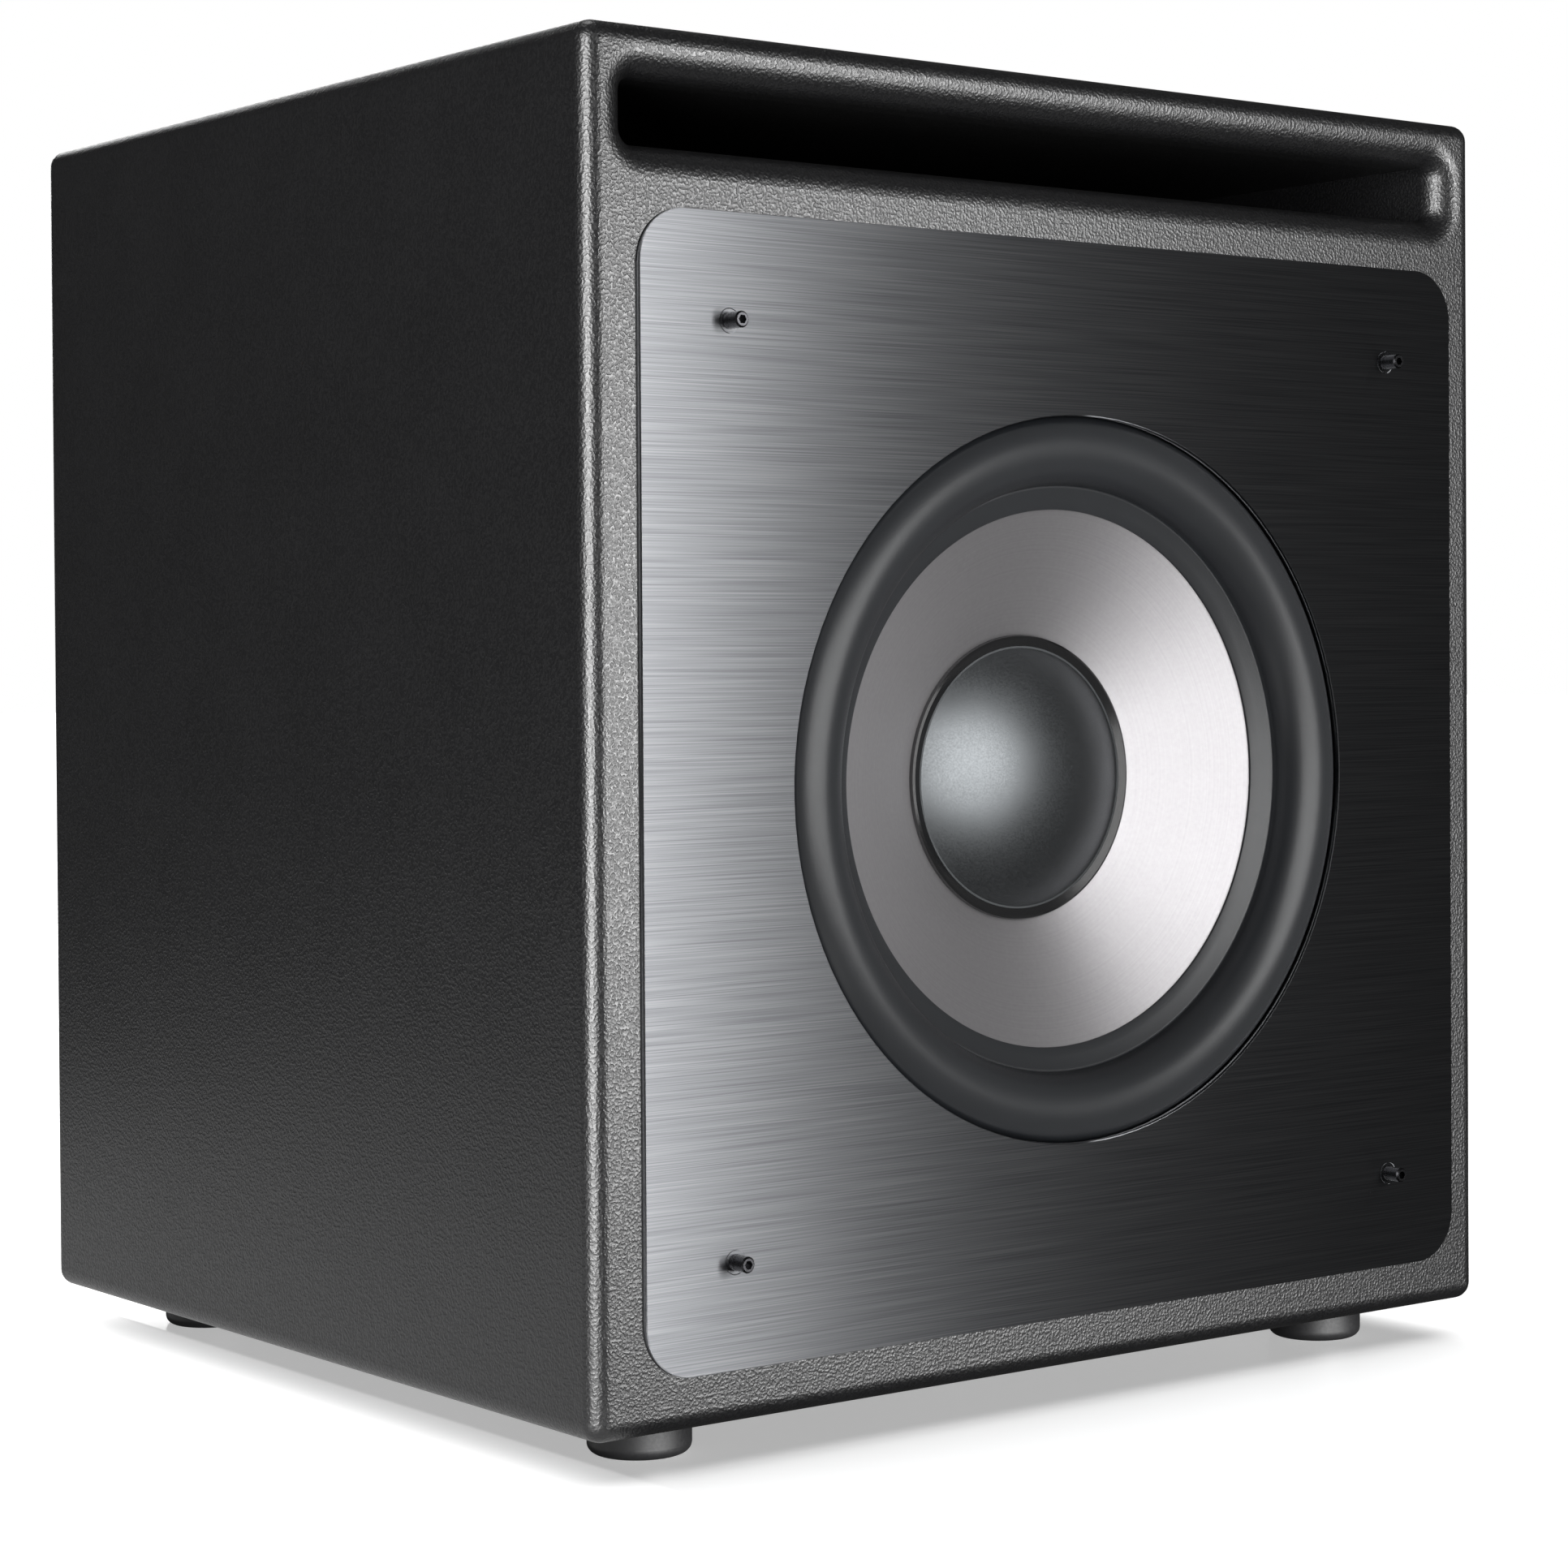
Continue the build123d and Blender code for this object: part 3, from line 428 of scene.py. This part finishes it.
def woven(name, light, dark, pitch, roughness=0.9):
    """Open cloth or braid: over-and-under threads at the given pitch in millimetres."""
    material, shader, place = surface(name, light, roughness)
    waves = []
    for axis in ("X", "Z"):
        inputs = {"Vector": place, "Scale": per(pitch) / 20 * math.pi, "Distortion": 0.4, "Detail Scale": 2.0}
        wave = add(material, "ShaderNodeTexWave", inputs, bands_direction=axis)
        waves.append(wave.outputs["Fac"])
    cross = math_of(material, "MULTIPLY", *waves)
    join(material, blended(material, cross, dark, light), shader, "Base Color")
    bumped(material, shader, cross, 0.15)
    return material


def two_jack_colours():
    """Moulded jack insulator: white for the left channel and red for the right one, in pairs."""
    material, shader, place = surface("moulded_jack_insulator", "#a01812", 0.35)
    x = add(material, "ShaderNodeSeparateXYZ", {"Vector": place}).outputs["X"]
    red = math_chain(material, x, ("ADD", 2 * MM), ("FLOORED_MODULO", 64 * MM), ("SUBTRACT", 54 * MM),
                     ("ABSOLUTE", None), ("LESS_THAN", 11 * MM))
    join(material, blended(material, red, "#d8d8d4", "#a8130f"), shader, "Base Color")
    grain = add(material, "ShaderNodeTexNoise", {"Vector": place, "Scale": per(0.5)})
    bumped(material, shader, grain.outputs["Fac"], 0.01)
    return material


finishes = {
    "painted_board": textured_paint(),
    "port_board": overspray_board(),
    "raw_board": raw_board(),
    "wadding": wadding(),
    "brushed_plate": brushed_plate(),
    # die-cut foam backing, near black: its colour is partly painted shadow for the gap under the plate's
    # edge, so the plate seems to float on a black line
    "black_backing": moulded("black_closed_cell_foam", "#060606", 0.95, 0.8, 0.05),
    # black-oxide steel: dark, oily sheen with a bright line on each chamfer
    "black_steel": moulded("black_oxide_steel", "#38383a", 0.26, 0.5, 0.004, Metallic=1.0),
    # moulded rubber: blackish grey, satin, faint dusting
    "foot_rubber": moulded("moulded_foot_rubber", "#161617", 0.5, 1.2, 0.02),
    # zinc plate: pale, slightly blue, softly mirrored
    "plated_steel": moulded("zinc_plated_steel", "#b9bcc0", 0.28, 0.8, 0.004, Metallic=1.0),
    # powder-coated casting: fine orange peel
    "cast_frame": moulded("powder_coated_casting", "#141415", 0.45, 1.1, 0.04),
    "foam_gasket": moulded("closed_cell_gasket_foam", "#161616", 0.92, 0.7, 0.06),
    # ground ferrite: dull dark grey with grinding bloom
    "ferrite": moulded("ground_ferrite", "#2b2b2e", 0.55, 0.6, 0.02),
    "copper": moulded("enamelled_copper", "#b3612e", 0.25, 0.35, 0.02, Metallic=1.0),
    "boot_rubber": moulded("magnet_boot_rubber", "#141414", 0.6, 0.9, 0.03),
    "terminal_plastic": moulded("phenolic_terminal_board", "#2a1c12", 0.5, 0.8, 0.01),
    "cone_metal": spun_cone(),
    # butyl rubber: deep grey, satin, with a fine dusty grain
    "surround_rubber": moulded("butyl_rubber_surround", "#1c1e21", 0.36, 0.7, 0.018, IOR=1.6),
    # bead-blasted cap with a black satin coat: broad soft highlight, sandy grain
    "cap_metal": moulded("bead_blasted_black_cap", "#76797b", 0.40, 0.7, 0.008, Metallic=1.0),
    # gloss-black turned ring: thin sharp highlights on its lips
    "trim_ring": moulded("gloss_black_trim_ring", "#101011", 0.16, 0.6, 0.003),
    "former_foil": moulded("black_anodised_foil", "#1a1a1a", 0.4, 0.5, 0.005, Metallic=0.6),
    "spider_cloth": woven("phenolic_dipped_cloth", "#c9a052", "#7d5d27", 0.9),
    # powder-coated steel panel: fine even orange peel
    "amp_panel": moulded("powder_coated_panel", "#151517", 0.42, 0.9, 0.03),
    "heat_sink_finish": moulded("black_anodised_extrusion", "#1f1f22", 0.35, 0.7, 0.006, Metallic=0.7),
    "cover_steel": moulded("galvanised_sheet", "#aeb2b5", 0.38, 6.0, 0.01, 0.3, Metallic=1.0),
    "circuit_laminate": moulded("green_solder_mask", "#0d4a24", 0.3, 1.5, 0.02),
    "transformer_wrap": moulded("yellow_polyester_tape", "#c9a227", 0.3, 2.0, 0.05),
    "capacitor_sleeve": moulded("shrink_sleeve", "#15181f", 0.25, 3.0, 0.02),
    "epoxy_case": moulded("moulded_epoxy_case", "#17171a", 0.5, 0.5, 0.02),
    "knob_plastic": moulded("moulded_abs_knob", "#1a1a1c", 0.42, 0.6, 0.015),
    "slider_plastic": moulded("moulded_nylon_slider", "#212123", 0.5, 0.6, 0.015),
    "switch_plastic": moulded("moulded_nylon_bezel", "#141415", 0.48, 0.6, 0.02),
    "rocker_plastic": moulded("semi_gloss_rocker", "#101011", 0.22, 0.6, 0.004),
    "inlet_plastic": moulded("moulded_inlet_nylon", "#121213", 0.48, 0.6, 0.02),
    "plated_brass": moulded("gold_flashed_brass", "#d9b25c", 0.2, 0.7, 0.003, Metallic=1.0),
    "fuse_glass": moulded("fuse_glass_tube", "#dfe6e8", 0.06, 2.0, 0.001, Transmission_Weight=0.9),
    "jack_plastic": two_jack_colours(),
    "cable_jacket": moulded("pvc_cable_jacket", "#161617", 0.42, 0.8, 0.01),
}
printed_ink = moulded("white_screen_print", "#d5d5d2", 0.55, 0.4, 0.005)
# tinned copper braid of the leads that flex with the cone
tinsel_braid = woven("tinned_copper_braid", "#c9a98a", "#5d4632", 0.7, 0.35)
# diffused green lens
lamp_lens = moulded("green_lamp_lens", "#1f7a35", 0.2, 0.8, 0.004, Emission_Color=linear("#2ecc55"),
                    Emission_Strength=0.6)


def finish_cad_nodes():
    """Every carried-over node takes the finish of its slot in the record."""
    slots = {part["node"]: part["material_slot"] for part in frame["record"]["subparts"]}
    for name, thing in frame["nodes"].items():
        thing.data.materials.clear()
        thing.data.materials.append(finishes[slots[name]])


def lit_floor():
    """White acrylic light table: glows a little from below, and only near the box has a faint gloss."""
    material, shader, place = surface("white_acrylic_light_table", "#fafafa", 0.25,
                                      Emission_Color=(1, 1, 1, 1), Emission_Strength=0.42)
    away = add(material, "ShaderNodeVectorMath", {0: place}, operation="LENGTH")
    join(material, spread(material, away.outputs["Value"], 0.25, 0.0, 0.4, 1.4), shader, "Specular IOR Level")
    return material


def add_floor():
    """Pale studio table, so the box sits on a soft shadow."""
    studio_sheet("floor", (-15, 15), (-15, 15), 0, lit_floor(), ("glossy", "shadow"))


# ---- piece helpers ----
def finished(name, shape, material, sharp=35):
    """Mesh object from a bmesh, smooth except where faces meet at more than this many degrees."""
    bmesh.ops.remove_doubles(shape, verts=shape.verts, dist=0.005 * MM)
    bmesh.ops.recalc_face_normals(shape, faces=shape.faces)
    for face in shape.faces:
        face.smooth = True
    mesh = bpy.data.meshes.new(name)
    shape.to_mesh(mesh)
    shape.free()
    mesh.set_sharp_from_angle(angle=math.radians(sharp))
    mesh.materials.append(material)
    return link(bpy.data.objects.new(name, mesh))


def arc(shape, radius, depth, centre_radius, centre_depth, degrees, steps):
    """Swings a point of the turned profile round a centre and gives the arc's first and last points."""
    start = shape.verts.new((radius * MM, deep(depth), driver.z))
    centre = (centre_radius * MM, deep(centre_depth), driver.z)
    swung = bmesh.ops.spin(shape, geom=[start], cent=centre, axis=(0, 0, 1), angle=math.radians(degrees),
                           steps=steps)
    return start, [v for v in swung["geom_last"] if isinstance(v, bmesh.types.BMVert)][0]


def line(shape, first, *places):
    """Carries the profile on through (radius, depth) places in millimetres."""
    for radius, depth in places:
        point = shape.verts.new((radius * MM, deep(depth), driver.z))
        shape.edges.new((first, point))
        first = point
    return first


def turn(shape, centre, steps):
    """Turns the whole profile once round the front-to-back line through centre."""
    bmesh.ops.spin(shape, geom=shape.verts[:] + shape.edges[:], cent=centre, axis=(0, 1, 0),
                   angle=2 * math.pi, steps=steps, use_merge=True)


def flex_with_cone(piece):
    """Sets each vertex to its distance from the driver's axis, bakes the piece's placement into its mesh,
    then puts every vertex back where it was.
    """
    places = [v.co.copy() for v in piece.data.vertices]
    for vertex, place in zip(piece.data.vertices, places):
        vertex.co = (math.hypot(place.x - driver.x, place.z - driver.z), 0, 0)
    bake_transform(piece)
    for vertex, place in zip(piece.data.vertices, places):
        vertex.co = place


# ---- driver's soft parts ----
# surround in millimetres: roll's radius, its middle's distance from the axis, its depth, rim, thickness
roll_radius, roll_middle, roll_base, rim, rubber = 14.0, 128.25, 6.5, 145.2, 1.2


def add_surround():
    """Half-roll rubber surround: a fine groove parts the roll from its flat land on the cone."""
    shape = bmesh.new()
    inner, outer = roll_middle - roll_radius, roll_middle + roll_radius
    front_start, front_end = arc(shape, inner, roll_base, roll_middle, roll_base, 180, 40)
    back_start, back_end = arc(shape, inner + rubber, roll_base, roll_middle, roll_base, 180, 32)
    edge = line(shape, front_end, (outer + 0.2, roll_base + 0.2), (rim, roll_base), (rim, roll_base + rubber),
                (outer - rubber, roll_base + rubber))
    shape.edges.new((edge, back_end))
    land = line(shape, front_start, (inner - 0.25, roll_base + 0.55), (inner - 0.9, roll_base + 0.35),
                (inner - 1.3, roll_base + 0.57), (108.5, 9.02), (105.3, 10.45), (104.8, 10.85),
                (104.8, 11.65), (inner + 0.5, roll_base + 0.95))
    shape.edges.new((land, back_start))
    turn(shape, driver, 180)
    piece = finished("surround_roll", shape, finishes["surround_rubber"], 50)
    flex_with_cone(piece)
    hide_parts("surround")


def add_plate_bushings():
    """Turned rings that close the clearance between each grille post and the plate."""
    post_radius, inside, outside, sunk = 3.0 * MM, 3.05 * MM, 4.28 * MM, 0.02 * MM
    face, back = plate_low.y + sunk, plate_high.y
    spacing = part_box("grille_posts")[1].x - post_radius
    for column, x in (("left", -spacing), ("right", spacing)):
        for row, z in (("low", -spacing), ("high", spacing)):
            shape = bmesh.new()
            corners = ((inside, face), (outside, face), (outside, back), (inside, back))
            ring = [shape.verts.new((x + radius, y, driver.z + z)) for radius, y in corners]
            for first, second in zip(ring, ring[1:] + ring[:1]):
                shape.edges.new((first, second))
            turn(shape, (x, 0, driver.z + z), 40)
            piece = finished(f"plate_bushing_{row}_{column}", shape, finishes["brushed_plate"])
            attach(piece, "cabinet")


def add_spider():
    """Corrugated centring disc of dipped cloth, glued to the coil former and the basket's shelf."""
    shape = bmesh.new()
    waves, inner, outer, depth = 9, 30.5, 70.0, 63.0
    pitch = (outer - inner) / waves
    last = None
    for wave in range(waves):
        side = -1 if wave % 2 else 1
        reach = inner + pitch * wave
        start, end = arc(shape, reach, depth, reach + pitch / 2, depth, 180 * side, 8)
        if last:
            shape.edges.new((last, start))
        else:
            line(shape, start, (27.0, depth), (25.9, depth - 0.8))
        last = end
    line(shape, last, (82.0, depth + 0.4))
    bmesh.ops.remove_doubles(shape, verts=shape.verts, dist=0.02 * MM)
    turn(shape, driver, 120)
    bmesh.ops.remove_doubles(shape, verts=shape.verts, dist=0.005 * MM)
    bmesh.ops.recalc_face_normals(shape, faces=shape.faces)
    bmesh.ops.solidify(shape, geom=shape.faces[:], thickness=0.6 * MM)
    piece = finished("spider_disc", shape, finishes["spider_cloth"])
    flex_with_cone(piece)
    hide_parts("spider")


def wire(name, points, diameter, material):
    """Round wire or cable on one smooth curve through its control points."""
    curve = bpy.data.curves.new(name, "CURVE")
    curve.dimensions = "3D"
    curve.bevel_depth = diameter / 2
    curve.bevel_resolution = 3
    curve.use_fill_caps = True
    curve.resolution_u = 8
    spline = curve.splines.new("NURBS")
    spline.points.add(len(points) - 1)
    for point, place in zip(spline.points, points):
        point.co = (*place, 1)
    spline.order_u = 3
    spline.use_endpoint_u = True
    curve.materials.append(material)
    return link(bpy.data.objects.new(name, curve))


def as_mesh(thing):
    """The same object with its curve made a mesh."""
    bpy.context.view_layer.update()
    mesh = bpy.data.meshes.new_from_object(thing.evaluated_get(bpy.context.evaluated_depsgraph_get()))
    name = thing.name
    bpy.data.objects.remove(thing)
    mesh.name = name
    for polygon in mesh.polygons:
        polygon.use_smooth = True
    return link(bpy.data.objects.new(name, mesh))


def add_tinsel_leads():
    """Two braided leads that flex between the terminal block and the coil former."""
    low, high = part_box("tinsel_leads")
    for side, name in ((-1, "tinsel_lead_left"), (1, "tinsel_lead_right")):
        x = side * 12 * MM
        points = [(x, deep(52), low.z), (x, deep(55.5), low.z + 27 * MM), (x, deep(51.5), high.z - 28 * MM),
                  (x, deep(54), high.z)]
        lead = as_mesh(wire(name, points, 2.2 * MM, tinsel_braid))
        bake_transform(lead)
        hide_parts("tinsel_leads")


def add_driver_cable():
    """The amplifier's lead to the driver, slack through the brace's lower window."""
    exit_place = Vector((60 * MM, cover_front, amp_middle - 60 * MM))
    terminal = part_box("driver_terminals")[0].z + 5 * MM
    points = [exit_place, (exit_place.x, cover_front - 25 * MM, exit_place.z)]
    points += [(x * MM, deep(y), exit_place.z + z * MM) for x, y, z in
               ((60, 290, -25), (60, 240, -40), (52, 195, -52), (30, 155, -55), (10, 118, -48))]
    points += [(0, deep(88), terminal - 6 * MM), (0, deep(74), terminal), (0, deep(58), terminal)]
    cable = wire("driver_lead", points, 6 * MM, finishes["cable_jacket"])
    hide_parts("driver_cable")
    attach(cable, "cabinet")


def add_wadding_pads():
    """Soft pads of wadding on the side walls and floor, crowned between their stuck-down edges."""
    thick, gap, clear = 23 * MM, 0.5 * MM, 4 * MM
    side_z = (floor_top + 24 * MM, shelf_bottom - 24 * MM)
    front_y = (deep(60), brace_low.y - clear)
    rear_y = (brace_high.y + clear, rear_inner - clear)
    pads = []
    for label, (y0, y1) in (("front", front_y), ("rear", rear_y)):
        for side, hand in ((-1, "left"), (1, "right")):
            x0, x1 = sorted((side * (inner_half - gap), side * (inner_half - gap - thick)))
            pads.append((f"wadding_{label}_{hand}", (x0, y0, side_z[0]), (x1, y1, side_z[1])))
    pads.append(("wadding_floor", (-150 * MM, front_y[0], floor_top + gap),
                 (150 * MM, front_y[1], floor_top + thick)))
    for name, low, high in pads:
        low, high = Vector(low), Vector(high)
        shape = bmesh.new()
        bmesh.ops.create_cube(shape, size=1.0)
        bmesh.ops.subdivide_edges(shape, edges=shape.edges[:], cuts=11, use_grid_fill=True)
        bmesh.ops.scale(shape, vec=high - low, verts=shape.verts)
        bmesh.ops.translate(shape, vec=(low + high) / 2, verts=shape.verts)
        for _ in range(6):
            bmesh.ops.smooth_vert(shape, verts=shape.verts, factor=0.5, use_axis_x=True, use_axis_y=True,
                                  use_axis_z=True)
        pad = finished(name, shape, finishes["wadding"], 80)
        soft = pad.modifiers.new("soft", "SUBSURF")
        soft.levels = soft.render_levels = 1
        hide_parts("damping_lining")
        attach(pad, "cabinet")


# ---- rear panel's markings and lamp ----
# turns figures' own axes so that they are upright and read from behind
facing_back = Matrix(((-1, 0, 0, 0), (0, 0, 1, 0), (0, 1, 0, 0), (0, 0, 0, 1)))
ink = 0.1 * MM
line_width = 0.5 * MM
knob_turn = 150                     # degrees either side of the top
tick_start, number_reach = 13 * MM, 18.6 * MM
slot_drop = 7 * MM                  # from a slide switch's middle to its numbers and its bar


def bar(shape, low, high, lean=None):
    """Adds a bar between two corners; lean = (degrees, centre) turns it about the front-to-back line."""
    low, high = Vector(low), Vector(high)
    made = bmesh.ops.create_cube(shape, size=1.0)["verts"]
    bmesh.ops.scale(shape, vec=high - low, verts=made)
    bmesh.ops.translate(shape, vec=(low + high) / 2, verts=made)
    if lean:
        degrees, centre = lean
        turned = Matrix.Rotation(math.radians(degrees), 3, "Y")
        bmesh.ops.rotate(shape, cent=centre, matrix=turned, verts=made)


def numbered(shape, text, height, x, z):
    """Adds thin printed figures on the amplifier's panel, centred on x and z."""
    curve = bpy.data.curves.new("figures", "FONT")
    curve.body = text
    curve.size = height
    curve.extrude = ink / 2
    curve.resolution_u = 3
    curve.align_x = "CENTER"
    curve.align_y = "CENTER"
    words = as_mesh(link(bpy.data.objects.new("figures", curve)))
    words.data.transform(Matrix.Translation((x, amp_face + ink / 2, z)) @ facing_back)
    shape.from_mesh(words.data)
    bpy.data.objects.remove(words)


def centre_of(node):
    """Middle of a node's box."""
    low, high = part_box(node)
    return (low + high) / 2


def printed_line(shape, x, z, lean=None):
    """Printed line or bar on the amplifier's panel, from x[0] to x[1] and z[0] to z[1]."""
    bar(shape, (x[0], amp_face, z[0]), (x[1], amp_face + ink, z[1]), lean)


def frame_round(shape, x0, x1, z0, z1):
    """Printed frame round a group of controls."""
    half = line_width / 2
    for z in (z0, z1):
        printed_line(shape, (x0 - half, x1 + half), (z - half, z + half))
    for x in (x0, x1):
        printed_line(shape, (x - half, x + half), (z0 - half, z1 + half))


def add_panel_print():
    """Screen print on the amplifier's panel: dial ticks and numbers, switch ends and group frames."""
    shape = bmesh.new()
    for node, numbers in (("level_knob", ("0", "5", "10")), ("crossover_knob", ("50", "100", "150"))):
        knob = centre_of(node)
        for step in range(11):
            angle = -knob_turn + step * knob_turn / 5
            tick_end = 15 * MM if step % 5 else 16 * MM
            printed_line(shape, (knob.x - line_width / 2, knob.x + line_width / 2),
                         (knob.z + tick_start, knob.z + tick_end), (angle, knob))
        for number, angle in zip(numbers, (knob_turn, 0, -knob_turn)):
            swing = math.radians(angle)
            numbered(shape, number, 4.4 * MM, knob.x + number_reach * math.sin(swing),
                     knob.z + number_reach * math.cos(swing))
    for node, ends in (("phase_slider", ("0", "180")), ("mode_slider", ("1", "2"))):
        slot = centre_of(node)
        if node == "phase_slider":  # rests at one end of its slot
            slot.x += 2 * MM
        for side, label in zip((9, -9), ends):
            numbered(shape, label, 3.6 * MM, slot.x + side * MM, slot.z + slot_drop)
        under = slot.z - slot_drop
        printed_line(shape, (slot.x - 6 * MM, slot.x + 6 * MM), (under, under + line_width))
    knob, slot, jacks = centre_of("level_knob"), centre_of("mode_slider"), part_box("line_jacks")
    frame_round(shape, slot.x - 18 * MM, knob.x + 24 * MM, knob.z - 22 * MM, knob.z + 25 * MM)
    frame_round(shape, jacks[0].x - 12 * MM, jacks[1].x + 12 * MM, jacks[0].z - 7 * MM, jacks[1].z + 7 * MM)
    piece = finished("panel_print", shape, printed_ink, 30)
    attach(piece, "cabinet")


def add_knob_pointers():
    """White inlay let into each knob's pointer groove, turning with it."""
    for node, body in (("level_knob", "level_control"), ("crossover_knob", "crossover_control")):
        low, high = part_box(node)
        knob = (low + high) / 2
        shape = bmesh.new()
        bar(shape, (knob.x - 0.48 * MM, high.y - 0.6 * MM, knob.z + 4.2 * MM),
            (knob.x + 0.48 * MM, high.y - 0.06 * MM, high.z - 1.0 * MM))
        bmesh.ops.bevel(shape, geom=shape.edges[:], offset=0.08 * MM, offset_type="OFFSET", segments=2,
                        profile=0.5, affect="EDGES", material=-1)
        piece = finished(f"{body}_pointer", shape, printed_ink, 40)
        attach(piece, body)


def add_power_lamp():
    """Small lamp beside the switch: a domed lens in a turned collar."""
    place = centre_of("power_rocker") + Vector((-30 * MM, 0, 0))
    # profiles as (radius, height over the panel) in millimetres
    collar = ((1.55, -0.5), (1.55, 1.1), (2.1, 1.5), (2.9, 1.0), (3.2, 0.0), (3.2, -0.5), (1.55, -0.5))
    lens = ((0.0, 2.3), (0.55, 2.2), (1.05, 1.9), (1.4, 1.4), (1.5, 0.8), (1.5, -0.5), (0.0, -0.5))
    pieces = (("lamp_collar", finishes["switch_plastic"], collar), ("lamp_lens", lamp_lens, lens))
    for name, material, profile in pieces:
        shape = bmesh.new()
        points = [shape.verts.new((place.x + out * MM, amp_face + up * MM, place.z)) for out, up in profile]
        for first, second in zip(points, points[1:]):
            shape.edges.new((first, second))
        turn(shape, (place.x, 0, place.z), 40)
        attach(finished(name, shape, material, 40), "cabinet")


add_camera()
add_floor()
finish_cad_nodes()
add_surround()
add_spider()
add_tinsel_leads()
add_driver_cable()
add_wadding_pads()
add_plate_bushings()
add_panel_print()
add_knob_pointers()
add_power_lamp()
add_light()
